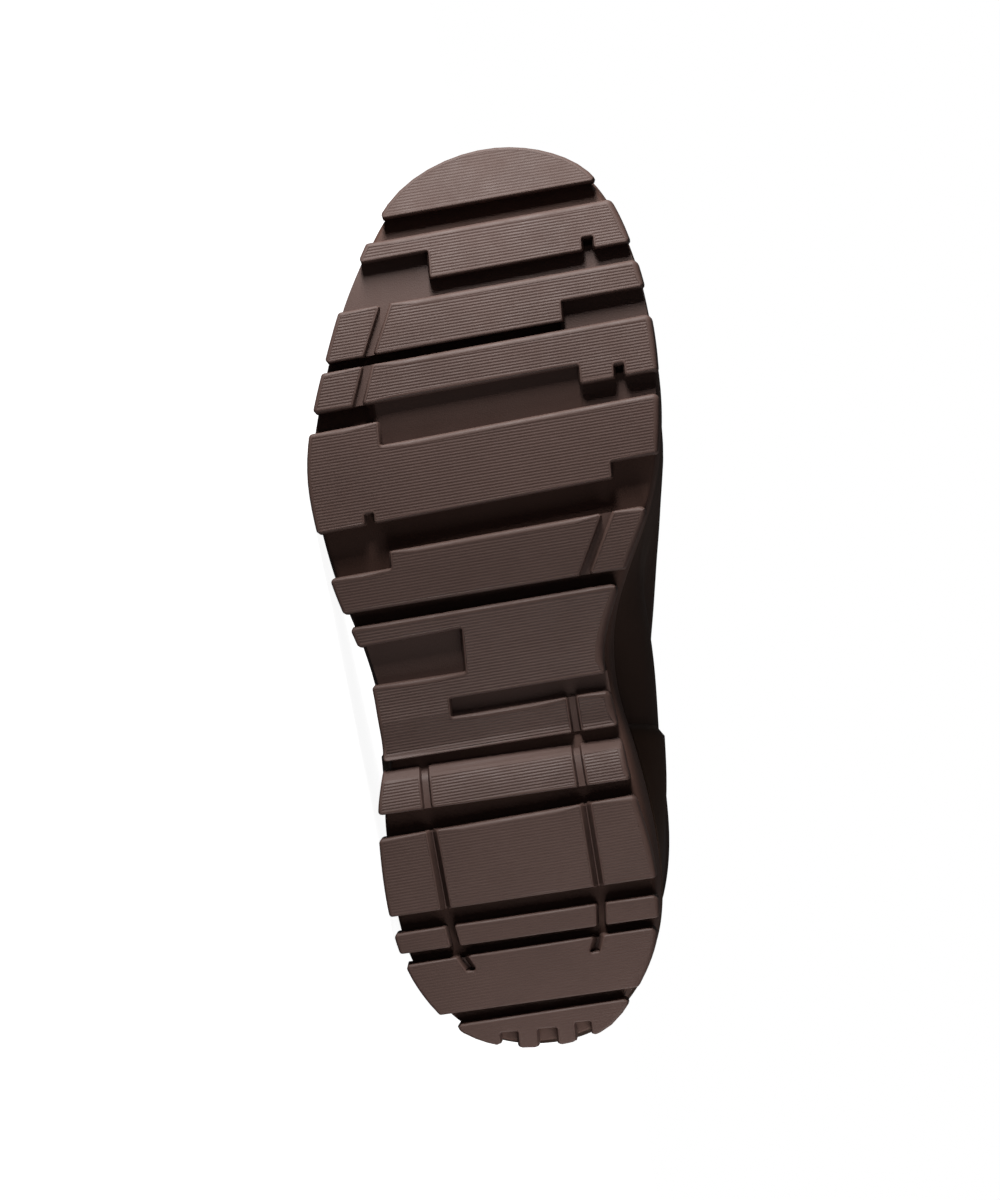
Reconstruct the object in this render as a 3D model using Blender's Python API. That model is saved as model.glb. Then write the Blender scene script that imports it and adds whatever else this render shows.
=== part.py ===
"""Platform rain boot, right foot, lying empty on its outer side.

Every shape is worked out in the boot's own frame in millimetres: x from the
back of the heel to the toe, y towards the inner (medial) side, z up from the
tread.  The finished pieces are then laid down on the outer side and written in
metres: toe along -X, shaft along +Y, inner side up along +Z.
"""
import math
from collections import namedtuple

import bmesh
import bpy
import numpy as np
from mathutils import Matrix, Vector

# ------------------------------------------------------------ named sizes, mm
MM = 0.001
SOLE_LENGTH = 274.3
BASE_TOE_INSET = 1.2        # platform block ends short of the toe bar
BASE_HEEL_INSET = 1.4
TOP_TOE_X = 274.9           # top edge of the platform
TOP_HEEL_X = -1.2
FEATHER_INSET = 1.7         # upper stands this far in from the platform edge
GAP = 0.35                  # clearance between neighbouring pieces
WALL = 2.5                  # moulded upper
COUNTER_THICK = 1.3
COUNTER_GAP = 0.45          # a little more where two curved skins lie side by side
INSOLE_THICK = 4.0
INSOLE_CLEAR = 0.6
LUG_ROOT = 4.0              # lugs reach this far into the platform block
CHANNEL_WIDTH = 2.9

SOLE_STATIONS = 40          # cosine spaced along the sole
WALL_LEVELS = (0.0, 0.06, 0.35, 0.7, 1.0)
WALL_BULGE = 0.7
UPPER_AROUND = 50
UPPER_RINGS_BUILT = 26
COUNTER_AROUND = 41
COUNTER_UP = 9
BEND_STEP = 9.0             # spacing of the cross cuts that let a lug bend

# ---------------------------------------------- half widths along the sole, mm
# base: platform block at the tread, lug: outer ends of the lugs,
# top: upper edge of the platform, wide: widest outline of the upper
Station = namedtuple(
    "Station", "x base_lat base_med lug_lat lug_med top_lat top_med wide_lat wide_med")
STATIONS = (
    Station(0, 0.0, 0.0, 0.0, 0.0, 0.0, 0.0, 0.0, 0.0),
    Station(3, -15.4, 16.8, -16.6, 18.8, -16.6, 17.6, -15.7, 15.6),
    Station(9, -24.7, 24.5, -26.3, 26.4, -26.1, 25.5, -24.9, 23.6),
    Station(16, -30.4, 29.5, -32.3, 31.4, -31.8, 31.1, -30.8, 29.6),
    Station(28, -36.6, 36.1, -38.6, 37.4, -38.0, 37.5, -37.6, 35.1),
    Station(43, -39.9, 39.1, -42.0, 39.7, -41.2, 40.3, -41.0, 37.7),
    Station(64, -41.0, 38.2, -43.2, 37.4, -42.2, 39.8, -42.4, 41.3),
    Station(78, -40.3, 36.1, -42.3, 34.4, -41.7, 37.9, -42.7, 43.1),
    Station(90, -37.9, 34.0, -40.2, 32.7, -40.1, 35.6, -42.7, 43.7),
    Station(104, -39.1, 31.2, -40.8, 30.5, -40.7, 32.6, -43.2, 44.1),
    Station(116, -40.6, 30.7, -42.1, 29.3, -42.0, 32.0, -44.4, 44.2),
    Station(130, -44.5, 33.3, -46.2, 32.9, -45.7, 34.1, -47.4, 43.5),
    Station(145, -49.1, 39.4, -50.8, 39.6, -50.3, 40.1, -51.3, 43.3),
    Station(160, -52.2, 46.1, -53.7, 46.8, -53.3, 46.8, -54.1, 47.3),
    Station(178, -53.9, 50.9, -55.3, 51.5, -55.0, 51.8, -55.7, 52.4),
    Station(196, -50.9, 52.6, -52.4, 53.2, -52.1, 53.4, -53.1, 52.8),
    Station(214, -45.7, 51.6, -46.7, 53.0, -46.9, 52.4, -47.3, 51.7),
    Station(230, -39.6, 49.6, -40.8, 50.9, -40.9, 50.5, -41.0, 49.7),
    Station(244.5, -32.6, 46.0, -33.7, 47.4, -33.8, 47.0, -33.8, 45.8),
    Station(257, -25.1, 40.7, -26.6, 42.4, -26.2, 41.8, -25.9, 41.0),
    Station(266.2, -15.6, 33.4, -17.1, 35.3, -16.8, 34.4, -16.3, 33.9),
    Station(271.6, -5.0, 23.6, -6.1, 25.3, -5.8, 24.6, -5.4, 24.2),
    Station(274.3, 9.6, 9.6, 9.6, 9.6, 9.6, 9.6, 9.6, 9.6),
)

# ------------------------------------------------- heights along the sole, mm
Level = namedtuple("Level", "x tread groove top")
LEVELS = (
    Level(0, 0.0, 6.5, 46.0),
    Level(40, 0.0, 6.5, 46.0),
    Level(74, 0.0, 6.5, 44.8),
    Level(80, 0.9, 6.8, 44.3),
    Level(87, 2.2, 7.9, 43.6),
    Level(93, 5.0, 9.7, 43.0),
    Level(97, 5.3, 10.2, 42.6),
    Level(104, 5.35, 10.3, 41.8),
    Level(118, 4.6, 9.8, 40.2),
    Level(138, 2.2, 8.4, 37.9),
    Level(152, 0.5, 6.9, 36.5),
    Level(160, 0.0, 6.5, 35.8),
    Level(176, 0.0, 6.5, 35.28),
    Level(188, 0.25, 6.7, 35.05),
    Level(197, 0.85, 7.3, 35.0),
    Level(205, 1.75, 8.1, 35.4),
    Level(222, 4.45, 10.6, 36.8),
    Level(243, 9.2, 14.8, 39.6),
    Level(262, 14.8, 20.1, 42.8),
    Level(274.3, 18.9, 23.7, 44.7),
)

# --------------------------------------------------- lugs: edges at y = 0, mm
# each edge runs x = edge + slope * y; a step changes the edge at y = step
Lug = namedtuple(
    "Lug", "name front_slope front_lat front_med front_step "
           "back_slope back_lat back_med back_step")
LUGS = (
    Lug("toe_bar", None, None, None, 0.0, 0.090, 257.7, 257.7, 0.0),
    Lug("fore_bar_1", 0.094, 250.9, 250.9, 0.0, 0.094, 245.3, 236.7, -13.2),
    Lug("fore_bar_2", 0.090, 231.1, 231.1, 0.0, 0.090, 216.4, 222.5, 25.9),
    Lug("fore_bar_3", 0.0925, 212.9, 212.9, 0.0, 0.0925, 201.9, 196.2, 29.7),
    Lug("ball_block", 0.100, 195.7, 188.4, -32.5, 0.100, 166.1, 171.1, 36.7),
    Lug("waist_bar", 0.090, 151.3, 156.4, -32.2, 0.075, 138.9, 138.9, 0.0),
    Lug("shank_panel", 0.081, 134.5, 134.5, 0.0, 0.068, 92.7, 92.7, 0.0),
    Lug("breast_bar", 0.058, 86.9, 86.9, 0.0, 0.0565, 76.5, 76.5, 0.0),
    Lug("heel_block", 0.088, 70.5, 70.5, 0.0, 0.0635, 45.7, 45.7, 0.0),
    Lug("heel_bar_1", 0.0634, 40.4, 40.4, 0.0, 0.0577, 33.9, 33.9, 0.0),
    Lug("heel_bar_2", 0.0663, 30.7, 30.7, 0.0, 0.0569, 13.9, 13.9, 0.0),
    Lug("heel_tip", 0.0683, 10.5, 10.5, 0.0, None, None, None, 0.0),
)

# notches cut into the back edge of a lug
Notch = namedtuple("Notch", "lug y_from y_to depth")
NOTCHES = (
    Notch("fore_bar_1", 33.6, 37.3, 3.9),
    Notch("fore_bar_3", 40.1, 43.4, 3.9),
    Notch("ball_block", -39.1, -36.1, 3.2),
    Notch("heel_tip", -11.8, -6.1, 4.0),
    Notch("heel_tip", -0.5, 5.8, 5.4),
    Notch("heel_tip", 11.0, 16.2, 4.6),
)

# pockets cut into the shank panel from one side, edges at y = 0
Pocket = namedtuple("Pocket", "side front_slope front back_slope back inner_y")
POCKETS = (
    Pocket("lat", 0.0987, 129.8, 0.067, 116.0, -12.7),
    Pocket("med", 0.076, 108.9, 0.0823, 103.3, -18.4),
)

# shallower floors between the lugs: corner points and depth under the tread
Pad = namedtuple("Pad", "name depth corners")
PADS = (
    Pad("ball_groove", 3.5, ((184.4, -33.2), (199.5, -33.2), (205.4, 30.3), (190.7, 30.3))),
    Pad("pocket_lat", 3.6, ((112.7, -39.6), (114.6, -12.2), (129.2, -12.2), (126.2, -42.5))),
    Pad("pocket_med", 3.4, ((101.1, -18.9), (105.2, 30.6), (111.8, 30.0), (108.1, -18.9))),
)

# straight shallow channels across a lug, from its front to its back
Channel = namedtuple("Channel", "front_x front_y back_x back_y depth")
CHANNELS = (
    Channel(230.0, -27.0, 212.4, -34.04, 1.6),
    Channel(211.0, -34.03, 195.5, -39.1, 1.6),
    Channel(162.0, 35.6, 139.2, 24.8, 1.6),
    Channel(105.0, 18.6, 92.0, 19.44, 1.6),
    Channel(89.0, -28.0, 72.0, -27.5, 1.6),
    Channel(90.0, 18.59, 76.0, 19.81, 1.6),
    Channel(71.0, -27.3, 42.5, -24.64, 3.4),
    Channel(74.0, 20.07, 45.5, 22.13, 3.4),
    Channel(40.6, -24.32, 31.6, -22.61, 3.4),
    Channel(43.5, 22.42, 34.2, 21.66, 3.4),
    Channel(30.3, -21.93, 24.5, -18.0, 3.4),
    Channel(33.3, 21.81, 27.7, 18.6, 3.4),
)

# ------------------------------------ sections of the upper, sole to collar, mm
# back and front points of each section in side view; foot: share of the foot
# outline; bulge: share of the widest outline; girth: scale of the foot outline;
# lat and med: half widths of the shaft oval
Ring = namedtuple("Ring", "name back_x back_z front_x front_z foot bulge girth lat med")
RINGS = (
    Ring("feather", 0.6, 46.3, 273.1, 45.0, 1.00, 0.00, 1.000, 42.0, 40.0),
    Ring("welt", -1.3, 53.0, 274.1, 50.7, 1.00, 0.50, 1.000, 42.0, 41.0),
    Ring("low", -2.4, 62.0, 272.9, 58.7, 1.00, 0.88, 1.000, 42.5, 42.0),
    Ring("quarter", -2.4, 72.0, 267.8, 67.0, 1.00, 1.00, 0.995, 43.0, 43.0),
    Ring("toe_top", -1.6, 81.0, 257.0, 75.0, 1.00, 1.00, 0.975, 43.0, 43.0),
    Ring("vamp_1", -0.2, 89.0, 240.6, 81.5, 1.00, 1.00, 0.945, 43.0, 43.0),
    Ring("vamp_2", 1.6, 96.5, 221.2, 88.0, 0.94, 1.00, 0.915, 42.5, 42.0),
    Ring("vamp_3", 3.6, 104.5, 200.0, 96.5, 0.82, 1.00, 0.890, 42.0, 41.0),
    Ring("vamp_4", 5.4, 114.0, 179.0, 107.5, 0.62, 1.00, 0.870, 41.0, 40.2),
    Ring("instep", 6.8, 126.0, 159.0, 122.0, 0.38, 1.00, 0.860, 40.6, 39.8),
    Ring("bend", 7.4, 141.0, 142.0, 139.5, 0.18, 1.00, 0.850, 41.2, 39.8),
    Ring("ankle", 6.8, 159.0, 129.5, 158.5, 0.06, 1.00, 0.850, 42.7, 40.2),
    Ring("shaft_1", 4.6, 182.0, 122.0, 182.0, 0.00, 1.00, 0.850, 44.3, 40.8),
    Ring("shaft_2", 1.8, 208.0, 118.5, 208.0, 0.00, 1.00, 0.850, 45.8, 41.2),
    Ring("shaft_3", -0.6, 234.0, 117.5, 234.0, 0.00, 1.00, 0.850, 47.0, 41.5),
    Ring("collar", -2.0, 257.0, 117.5, 257.0, 0.00, 1.00, 0.850, 47.8, 41.6),
)
SHAFT_SQUARENESS = 2.25

# heel counter: reach along each side (turn from the heel) and top edge
COUNTER_TURN_MED = 72.0     # degrees, puts the inner front edge at the arch
COUNTER_TURN_LAT = 72.0
COUNTER_TOP_BACK = 5.1      # counted in sections of the upper
COUNTER_TOP_FRONT = 3.7
COUNTER_CORNER = 0.26       # share of the reach taken by the rounded corner
COUNTER_BOTTOM = 0.05


# ----------------------------------------------------------- curve functions
def spline(xs, ys):
    """Natural cubic spline through short columns."""
    xs = np.asarray(xs, float)
    ys = np.asarray(ys, float)
    n = len(xs)
    h = np.diff(xs)
    a = np.eye(n)
    b = np.zeros(n)
    for i in range(1, n - 1):
        a[i, i - 1:i + 2] = (h[i - 1], 2 * (h[i - 1] + h[i]), h[i])
        b[i] = 6 * ((ys[i + 1] - ys[i]) / h[i] - (ys[i] - ys[i - 1]) / h[i - 1])
    m = np.linalg.solve(a, b)

    def at(x):
        x = np.clip(np.asarray(x, float), xs[0], xs[-1])
        k = np.clip(np.searchsorted(xs, x, side="right") - 1, 0, n - 2)
        u, v = x - xs[k], xs[k + 1] - x
        return (m[k] * v ** 3 + m[k + 1] * u ** 3) / (6 * h[k]) \
            + (ys[k] / h[k] - m[k] * h[k] / 6) * v \
            + (ys[k + 1] / h[k] - m[k + 1] * h[k] / 6) * u
    return at


def monotone(xs, ys):
    """Monotone cubic through short columns, flat stretches stay flat."""
    xs = np.asarray(xs, float)
    ys = np.asarray(ys, float)
    h = np.diff(xs)
    d = np.diff(ys) / h
    m = np.zeros(len(xs))
    m[0], m[-1] = d[0], d[-1]
    for i in range(1, len(xs) - 1):
        if d[i - 1] * d[i] > 0:
            w1, w2 = 2 * h[i] + h[i - 1], h[i] + 2 * h[i - 1]
            m[i] = (w1 + w2) / (w1 / d[i - 1] + w2 / d[i])

    def at(x):
        x = np.clip(np.asarray(x, float), xs[0], xs[-1])
        k = np.clip(np.searchsorted(xs, x, side="right") - 1, 0, len(h) - 1)
        t = (x - xs[k]) / h[k]
        return ys[k] * (1 + 2 * t) * (1 - t) ** 2 + ys[k + 1] * t * t * (3 - 2 * t) \
            + h[k] * (m[k] * t * (1 - t) ** 2 - m[k + 1] * t * t * (1 - t))
    return at


def turn_of(x):
    """Cosine parameter 0..1 of a station along the sole."""
    return np.arccos(np.clip(1 - 2 * np.asarray(x, float) / SOLE_LENGTH, -1, 1)) / math.pi


def station_of(q):
    return SOLE_LENGTH * (1 - np.cos(math.pi * np.asarray(q, float))) / 2


TURNS = turn_of([s.x for s in STATIONS])
WIDTH = {name: spline(TURNS, [getattr(s, name) for s in STATIONS])
         for name in Station._fields if name != "x"}
HEIGHT = {name: monotone([s.x for s in LEVELS], [getattr(s, name) for s in LEVELS])
          for name in ("tread", "groove", "top")}


def width(name, x):
    return WIDTH[name](turn_of(x))


# ------------------------------------------------------------- platform block
def wall_point(q, side, level):
    """Side wall of the platform: level 0 at the tread, 1 at its top edge."""
    x_full = station_of(q)
    start = BASE_HEEL_INSET + (TOP_HEEL_X - BASE_HEEL_INSET) * level
    end = SOLE_LENGTH - BASE_TOE_INSET
    end = end + (TOP_TOE_X - end) * level
    x = start + (end - start) * x_full / SOLE_LENGTH
    low, high = WIDTH["base_" + side](q), WIDTH["top_" + side](q)
    y = low + (high - low) * level
    out = WALL_BULGE * np.sin(math.pi * level) * np.sin(math.pi * q)
    edge = 0.8 if level == 0.0 else 0.0
    y = y + (out - edge) * (1 if side == "med" else -1) * np.sin(math.pi * q) ** 0.5
    z0, z1 = HEIGHT["groove"](x_full), HEIGHT["top"](x_full)
    return np.stack([x, y, z0 + (z1 - z0) * level], axis=-1)


def ring_index(count):
    """Order of a closed ring: heel tip, inner side, toe tip, outer side back."""
    return [("med", i) for i in range(0, count + 1)] + \
           [("lat", i) for i in range(count - 1, 0, -1)]


def platform_mesh():
    n = SOLE_STATIONS
    q = np.linspace(0, 1, n + 1)
    order = ring_index(n)
    verts, faces = [], []
    for level in WALL_LEVELS:
        sides = {s: wall_point(q, s, level) for s in ("med", "lat")}
        verts += [tuple(sides[s][i]) for s, i in order]
    m = len(order)
    for k in range(len(WALL_LEVELS) - 1):
        for i in range(m):
            j = (i + 1) % m
            faces.append((k * m + j, k * m + i, (k + 1) * m + i, (k + 1) * m + j))
    faces += strip_cap(0, n, m, False) + strip_cap((len(WALL_LEVELS) - 1) * m, n, m, True)
    return verts, faces


def strip_cap(first, n, m, up):
    """Close a ring across from inner to outer points of the same station."""
    def med(i):
        return first + i

    def lat(i):
        return first + (m - i) % m if i < n else first + n
    faces = []
    for i in range(n):
        loop = [med(i), med(i + 1), lat(i + 1), lat(i)]
        loop = [v for k, v in enumerate(loop) if v not in loop[:k]]
        faces.append(tuple(loop[::-1]) if up else tuple(loop))
    return faces


# ------------------------------------------------------------------- the lugs
def edge_meets(edge, slope, side):
    """Point where a lug edge meets the outline of the lugs."""
    y = 0.0
    for _ in range(60):
        y = 0.5 * y + 0.5 * float(width("lug_" + side, edge + slope * y))
    return edge + slope * y, y


def outline_run(side, x_from, x_to, count):
    qs = np.linspace(float(turn_of(x_from)), float(turn_of(x_to)), count)
    return [(float(station_of(q)), float(WIDTH["lug_" + side](q))) for q in qs]


def side_run(side, lug, x_from, x_to, count):
    """One end of a lug along the outline, with any pocket cut into it."""
    run = outline_run(side, x_from, x_to, count)
    if lug.name != "shank_panel":
        return run
    for p in POCKETS:
        if p.side != side:
            continue
        front = edge_meets(p.front, p.front_slope, side)
        back = edge_meets(p.back, p.back_slope, side)
        cut = [front, (p.front + p.front_slope * p.inner_y, p.inner_y),
               (p.back + p.back_slope * p.inner_y, p.inner_y), back]
        if x_from < x_to:
            cut = cut[::-1]
        lo, hi = min(front[0], back[0]) - 1.5, max(front[0], back[0]) + 1.5
        before = [v for v in run if (v[0] > hi if x_from > x_to else v[0] < lo)]
        after = [v for v in run if (v[0] < lo if x_from > x_to else v[0] > hi)]
        run = before + cut + after
    return run


def edge_run(slope, lat_x, med_x, step, y_lat, y_med, notches=()):
    """A lug edge from its outer to its inner end with its step and notches."""
    pts = [(lat_x + slope * y_lat, y_lat)]
    marks = []
    if abs(lat_x - med_x) > 1e-6:
        marks.append((step, [(lat_x + slope * step, step), (med_x + slope * step, step)]))
    for n in notches:
        near = lat_x if n.y_to < step or abs(lat_x - med_x) < 1e-6 else med_x
        marks.append((n.y_from, [
            (near + slope * n.y_from, n.y_from), (near + slope * n.y_from + n.depth, n.y_from),
            (near + slope * n.y_to + n.depth, n.y_to), (near + slope * n.y_to, n.y_to)]))
    for _, run in sorted(marks):
        pts += run
    pts.append((med_x + slope * y_med, y_med))
    return pts


def heel_arc(y_lat, y_med, count, notches):
    """Back edge of the heel tip, outer to inner, with its notches."""
    qs = np.linspace(0, 0.25, 80)
    ys = np.concatenate([WIDTH["lug_lat"](qs)[::-1], WIDTH["lug_med"](qs)[1:]])
    xs = np.concatenate([station_of(qs)[::-1], station_of(qs)[1:]])
    pts = [(float(np.interp(y, ys, xs)), float(y)) for y in np.linspace(y_lat, y_med, count)]
    pts = [p for p in pts if not any(n.y_from - 0.7 < p[1] < n.y_to + 0.7 for n in notches)]
    for n in notches:
        a, b = float(np.interp(n.y_from, ys, xs)), float(np.interp(n.y_to, ys, xs))
        deep = max(a, b) + n.depth
        pts += [(a, n.y_from), (deep, n.y_from + 1e-4), (deep, n.y_to - 1e-4), (b, n.y_to)]
    return sorted(pts, key=lambda p: p[1])


def lug_outline(lug, end_count=4):
    """Closed outline of one lug on the tread, as (x, y) points."""
    notches = [n for n in NOTCHES if n.lug == lug.name]
    if lug.front_slope is None:
        bl, bm = (edge_meets(lug.back_lat, lug.back_slope, s) for s in ("lat", "med"))
        arc = outline_run("lat", bl[0], SOLE_LENGTH, 9) + \
            outline_run("med", SOLE_LENGTH, bm[0], 9)[1:]
        return arc
    fl = edge_meets(lug.front_lat, lug.front_slope, "lat")
    fm = edge_meets(lug.front_med, lug.front_slope, "med")
    front = edge_run(lug.front_slope, lug.front_lat, lug.front_med, lug.front_step, fl[1], fm[1])
    if lug.back_slope is None:
        back = heel_arc(fl[1], fm[1], 17, notches)
        return front + back[::-1][1:-1]
    bl = edge_meets(lug.back_lat, lug.back_slope, "lat")
    bm = edge_meets(lug.back_med, lug.back_slope, "med")
    back = edge_run(lug.back_slope, lug.back_lat, lug.back_med, lug.back_step,
                    bl[1], bm[1], notches)
    med = side_run("med", lug, fm[0], bm[0], end_count)
    lat = side_run("lat", lug, bl[0], fl[0], end_count)
    return front[:-1] + med + back[::-1][1:-1] + lat[:-1]


def bent_prism(bm, outline, low, high):
    """Prism over an outline, cut across and bent between two height curves."""
    tmp = bmesh.new()
    tmp.faces.new([tmp.verts.new((x, y, 0.0)) for x, y in outline])
    xs = [p[0] for p in outline]
    step = math.ceil(min(xs) / BEND_STEP) * BEND_STEP
    while step < max(xs) - 0.5:
        if step > min(xs) + 0.5:
            bmesh.ops.bisect_plane(tmp, geom=tmp.verts[:] + tmp.edges[:] + tmp.faces[:],
                                   plane_co=(step, 0, 0), plane_no=(1, 0, 0), dist=1e-5)
        step += BEND_STEP
    bmesh.ops.triangulate(tmp, faces=tmp.faces[:])
    tmp.normal_update()
    flip = sum(f.normal.z * f.calc_area() for f in tmp.faces) > 0
    tmp.verts.ensure_lookup_table()
    tmp.verts.index_update()
    base = len(bm.verts)
    pts = [v.co.copy() for v in tmp.verts]
    lows = [bm.verts.new((p.x, p.y, float(low(p.x)))) for p in pts]
    highs = [bm.verts.new((p.x, p.y, float(high(p.x)))) for p in pts]
    for f in tmp.faces:
        ids = [v.index for v in f.verts]
        if flip:
            ids = ids[::-1]
        bm.faces.new([lows[i] for i in ids])
        bm.faces.new([highs[i] for i in ids[::-1]])
    for e in tmp.edges:
        if len(e.link_faces) == 1:
            loop = e.link_loops[0]
            a, b = loop.vert.index, loop.link_loop_next.vert.index
            if flip:
                a, b = b, a
            bm.faces.new([lows[b], lows[a], highs[a], highs[b]])
    tmp.free()
    return base


def tread_at(x):
    return HEIGHT["tread"](x)


def root_at(x):
    return HEIGHT["groove"](x) + LUG_ROOT


def channel_outline(c):
    a, b = Vector((c.front_x, c.front_y)), Vector((c.back_x, c.back_y))
    across = (b - a).orthogonal().normalized() * (CHANNEL_WIDTH / 2)
    return [tuple(a + across), tuple(b + across), tuple(b - across), tuple(a - across)]


# ------------------------------------------------------------------ the upper
RING_COLUMN = {name: spline(range(len(RINGS)), [getattr(r, name) for r in RINGS])
               for name in Ring._fields if name not in ("name", "foot", "bulge")}
for _name in ("foot", "bulge"):
    RING_COLUMN[_name] = monotone(range(len(RINGS)), [getattr(r, _name) for r in RINGS])
TOP_RING = len(RINGS) - 1


def upper_surface(phi, s):
    """Outer skin of the upper: phi from the toe over the inner side, s in sections."""
    phi, s = np.broadcast_arrays(np.asarray(phi, float), np.asarray(s, float))
    col = {k: f(s) for k, f in RING_COLUMN.items()}
    share = (1 + np.cos(phi)) / 2
    x = col["back_x"] + (col["front_x"] - col["back_x"]) * share
    q = turn_of(SOLE_LENGTH * share)
    med = np.sin(phi) >= 0
    end = np.sin(math.pi * q)
    feather = np.where(med, WIDTH["top_med"](q) - FEATHER_INSET * end,
                       WIDTH["top_lat"](q) + FEATHER_INSET * end)
    wide = np.where(med, WIDTH["wide_med"](q), WIDTH["wide_lat"](q))
    foot_y = (feather + (wide - feather) * col["bulge"]) * col["girth"]
    oval = (1 - np.abs(np.cos(phi)) ** SHAFT_SQUARENESS) ** (1 / SHAFT_SQUARENESS)
    shaft_y = np.where(med, col["med"], -col["lat"]) * oval
    y = col["foot"] * foot_y + (1 - col["foot"]) * shaft_y
    rise = col["back_z"] + (col["front_z"] - col["back_z"]) * share
    top = HEIGHT["top"](SOLE_LENGTH * share)
    level = HEIGHT["top"](0.0) + (HEIGHT["top"](SOLE_LENGTH) - HEIGHT["top"](0.0)) * share
    z = rise + col["foot"] * (top - level)
    return np.stack([x, y, z], axis=-1)


def upper_normal(phi, s, step=0.02):
    lo, hi = np.maximum(s - step, 0.0), np.minimum(s + step, TOP_RING)
    along = upper_surface(phi + step, s) - upper_surface(phi - step, s)
    up = upper_surface(phi, hi) - upper_surface(phi, lo)
    n = np.cross(along, up)
    return n / np.linalg.norm(n, axis=-1, keepdims=True)


def upper_offset(phi, s, out):
    return upper_surface(phi, s) + upper_normal(phi, s) * out


def shell_mesh():
    """Hollow upper: outer skin, inner skin, rims at the sole and at the collar."""
    phi = np.linspace(0, 2 * math.pi, UPPER_AROUND, endpoint=False)
    s = np.linspace(0, TOP_RING, UPPER_RINGS_BUILT)
    grid_phi, grid_s = np.meshgrid(phi, s)
    outer = upper_surface(grid_phi, grid_s)
    inner = upper_offset(grid_phi, grid_s, -WALL)
    inner[0, :, 2] = outer[0, :, 2]
    inner[-1, :, 2] = outer[-1, :, 2]
    n, m = grid_phi.shape
    verts = [tuple(p) for p in outer.reshape(-1, 3)] + [tuple(p) for p in inner.reshape(-1, 3)]
    faces, shift = [], n * m
    for k in range(n - 1):
        for i in range(m):
            j = (i + 1) % m
            quad = (k * m + i, k * m + j, (k + 1) * m + j, (k + 1) * m + i)
            faces.append(quad)
            faces.append(tuple(shift + v for v in quad[::-1]))
    for i in range(m):
        j = (i + 1) % m
        faces.append((shift + i, shift + j, j, i))
        last = (n - 1) * m
        faces.append((last + i, last + j, shift + last + j, shift + last + i))
    return verts, faces


def counter_grid(out):
    """Heel counter skin at one offset from the upper."""
    a = np.linspace(-1, 1, COUNTER_AROUND)
    b = np.linspace(0, 1, COUNTER_UP)
    turn = np.where(a < 0, -a * COUNTER_TURN_MED, -a * COUNTER_TURN_LAT)
    phi = math.pi - np.radians(turn)
    near = np.clip((1 - np.abs(a)) / COUNTER_CORNER, 0, 1)
    corner = np.sqrt(1 - (1 - near) ** 2)
    top = COUNTER_TOP_FRONT + (COUNTER_TOP_BACK - COUNTER_TOP_FRONT) * np.cos(a * math.pi / 2) ** 2
    top = top - 1.1 * (1 - corner)
    s = COUNTER_BOTTOM + (top - COUNTER_BOTTOM)[:, None] * b[None, :]
    skin = upper_offset(np.repeat(phi[:, None], COUNTER_UP, 1), s, out)
    floor = HEIGHT["top"](skin[..., 0]) + GAP + 0.1
    skin[..., 2] = np.maximum(skin[..., 2], floor + 0.6 * (s - COUNTER_BOTTOM))
    return skin


def counter_mesh():
    low, high = counter_grid(COUNTER_GAP), counter_grid(COUNTER_GAP + COUNTER_THICK)
    n, m = low.shape[:2]
    verts = [tuple(p) for p in low.reshape(-1, 3)] + [tuple(p) for p in high.reshape(-1, 3)]
    shift, faces = n * m, []
    for i in range(n - 1):
        for k in range(m - 1):
            quad = (i * m + k, (i + 1) * m + k, (i + 1) * m + k + 1, i * m + k + 1)
            faces.append(tuple(shift + v for v in quad))
            faces.append(quad[::-1])
    rim = [i * m for i in range(n)] + [(n - 1) * m + k for k in range(1, m)] + \
          [i * m + m - 1 for i in range(n - 2, -1, -1)] + [k for k in range(m - 2, 0, -1)]
    for i, v in enumerate(rim):
        w = rim[(i + 1) % len(rim)]
        faces.append((v, w, shift + w, shift + v))
    return verts, faces


def insole_mesh():
    """Footbed: a plate inside the upper, lying on the platform."""
    n = SOLE_STATIONS
    q = np.linspace(0, 1, n + 1)
    rows = {"med": upper_offset(math.pi * (1 - q), np.zeros(n + 1), -WALL - INSOLE_CLEAR),
            "lat": upper_offset(math.pi * (1 + q), np.zeros(n + 1), -WALL - INSOLE_CLEAR)}
    order = ring_index(n)
    verts, faces, m = [], [], len(order)
    for lift in (GAP, GAP + INSOLE_THICK):
        for s, i in order:
            x, y = rows[s][i][:2]
            verts.append((x, y, float(HEIGHT["top"](x)) + lift))
    for i in range(m):
        j = (i + 1) % m
        faces.append((j, i, m + i, m + j))
    faces += strip_cap(0, n, m, False) + strip_cap(m, n, m, True)
    return verts, faces


# ---------------------------------------------------------- laying it down
def lying_matrix(points, weights_at):
    """Turn from the boot's frame to the floor: resting on the outer side."""
    bm = bmesh.new()
    for p in points:
        bm.verts.new(p)
    hull = bmesh.ops.convex_hull(bm, input=bm.verts[:], use_existing_faces=False)
    down = None
    for f in [g for g in hull["geom"] if isinstance(g, bmesh.types.BMFace)]:
        n = f.normal.copy()
        if n.y > -0.9:
            continue
        hit = f.calc_center_median()
        t = (hit - weights_at).dot(n) / n.dot(Vector((0, -1, 0)))
        spot = weights_at + Vector((0, -1, 0)) * t
        inside = True
        vs = [v.co for v in f.verts]
        for i, a in enumerate(vs):
            b = vs[(i + 1) % len(vs)]
            if (b - a).cross(spot - a).dot(n) < -1e-9:
                inside = False
        if inside:
            down = n
    bm.free()
    up_z = -down
    toe = Vector((1, 0, 0))
    toe = (toe - up_z * toe.dot(up_z)).normalized()
    row_x = -toe
    row_y = up_z.cross(row_x)
    return Matrix((row_x, row_y, up_z))


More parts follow.
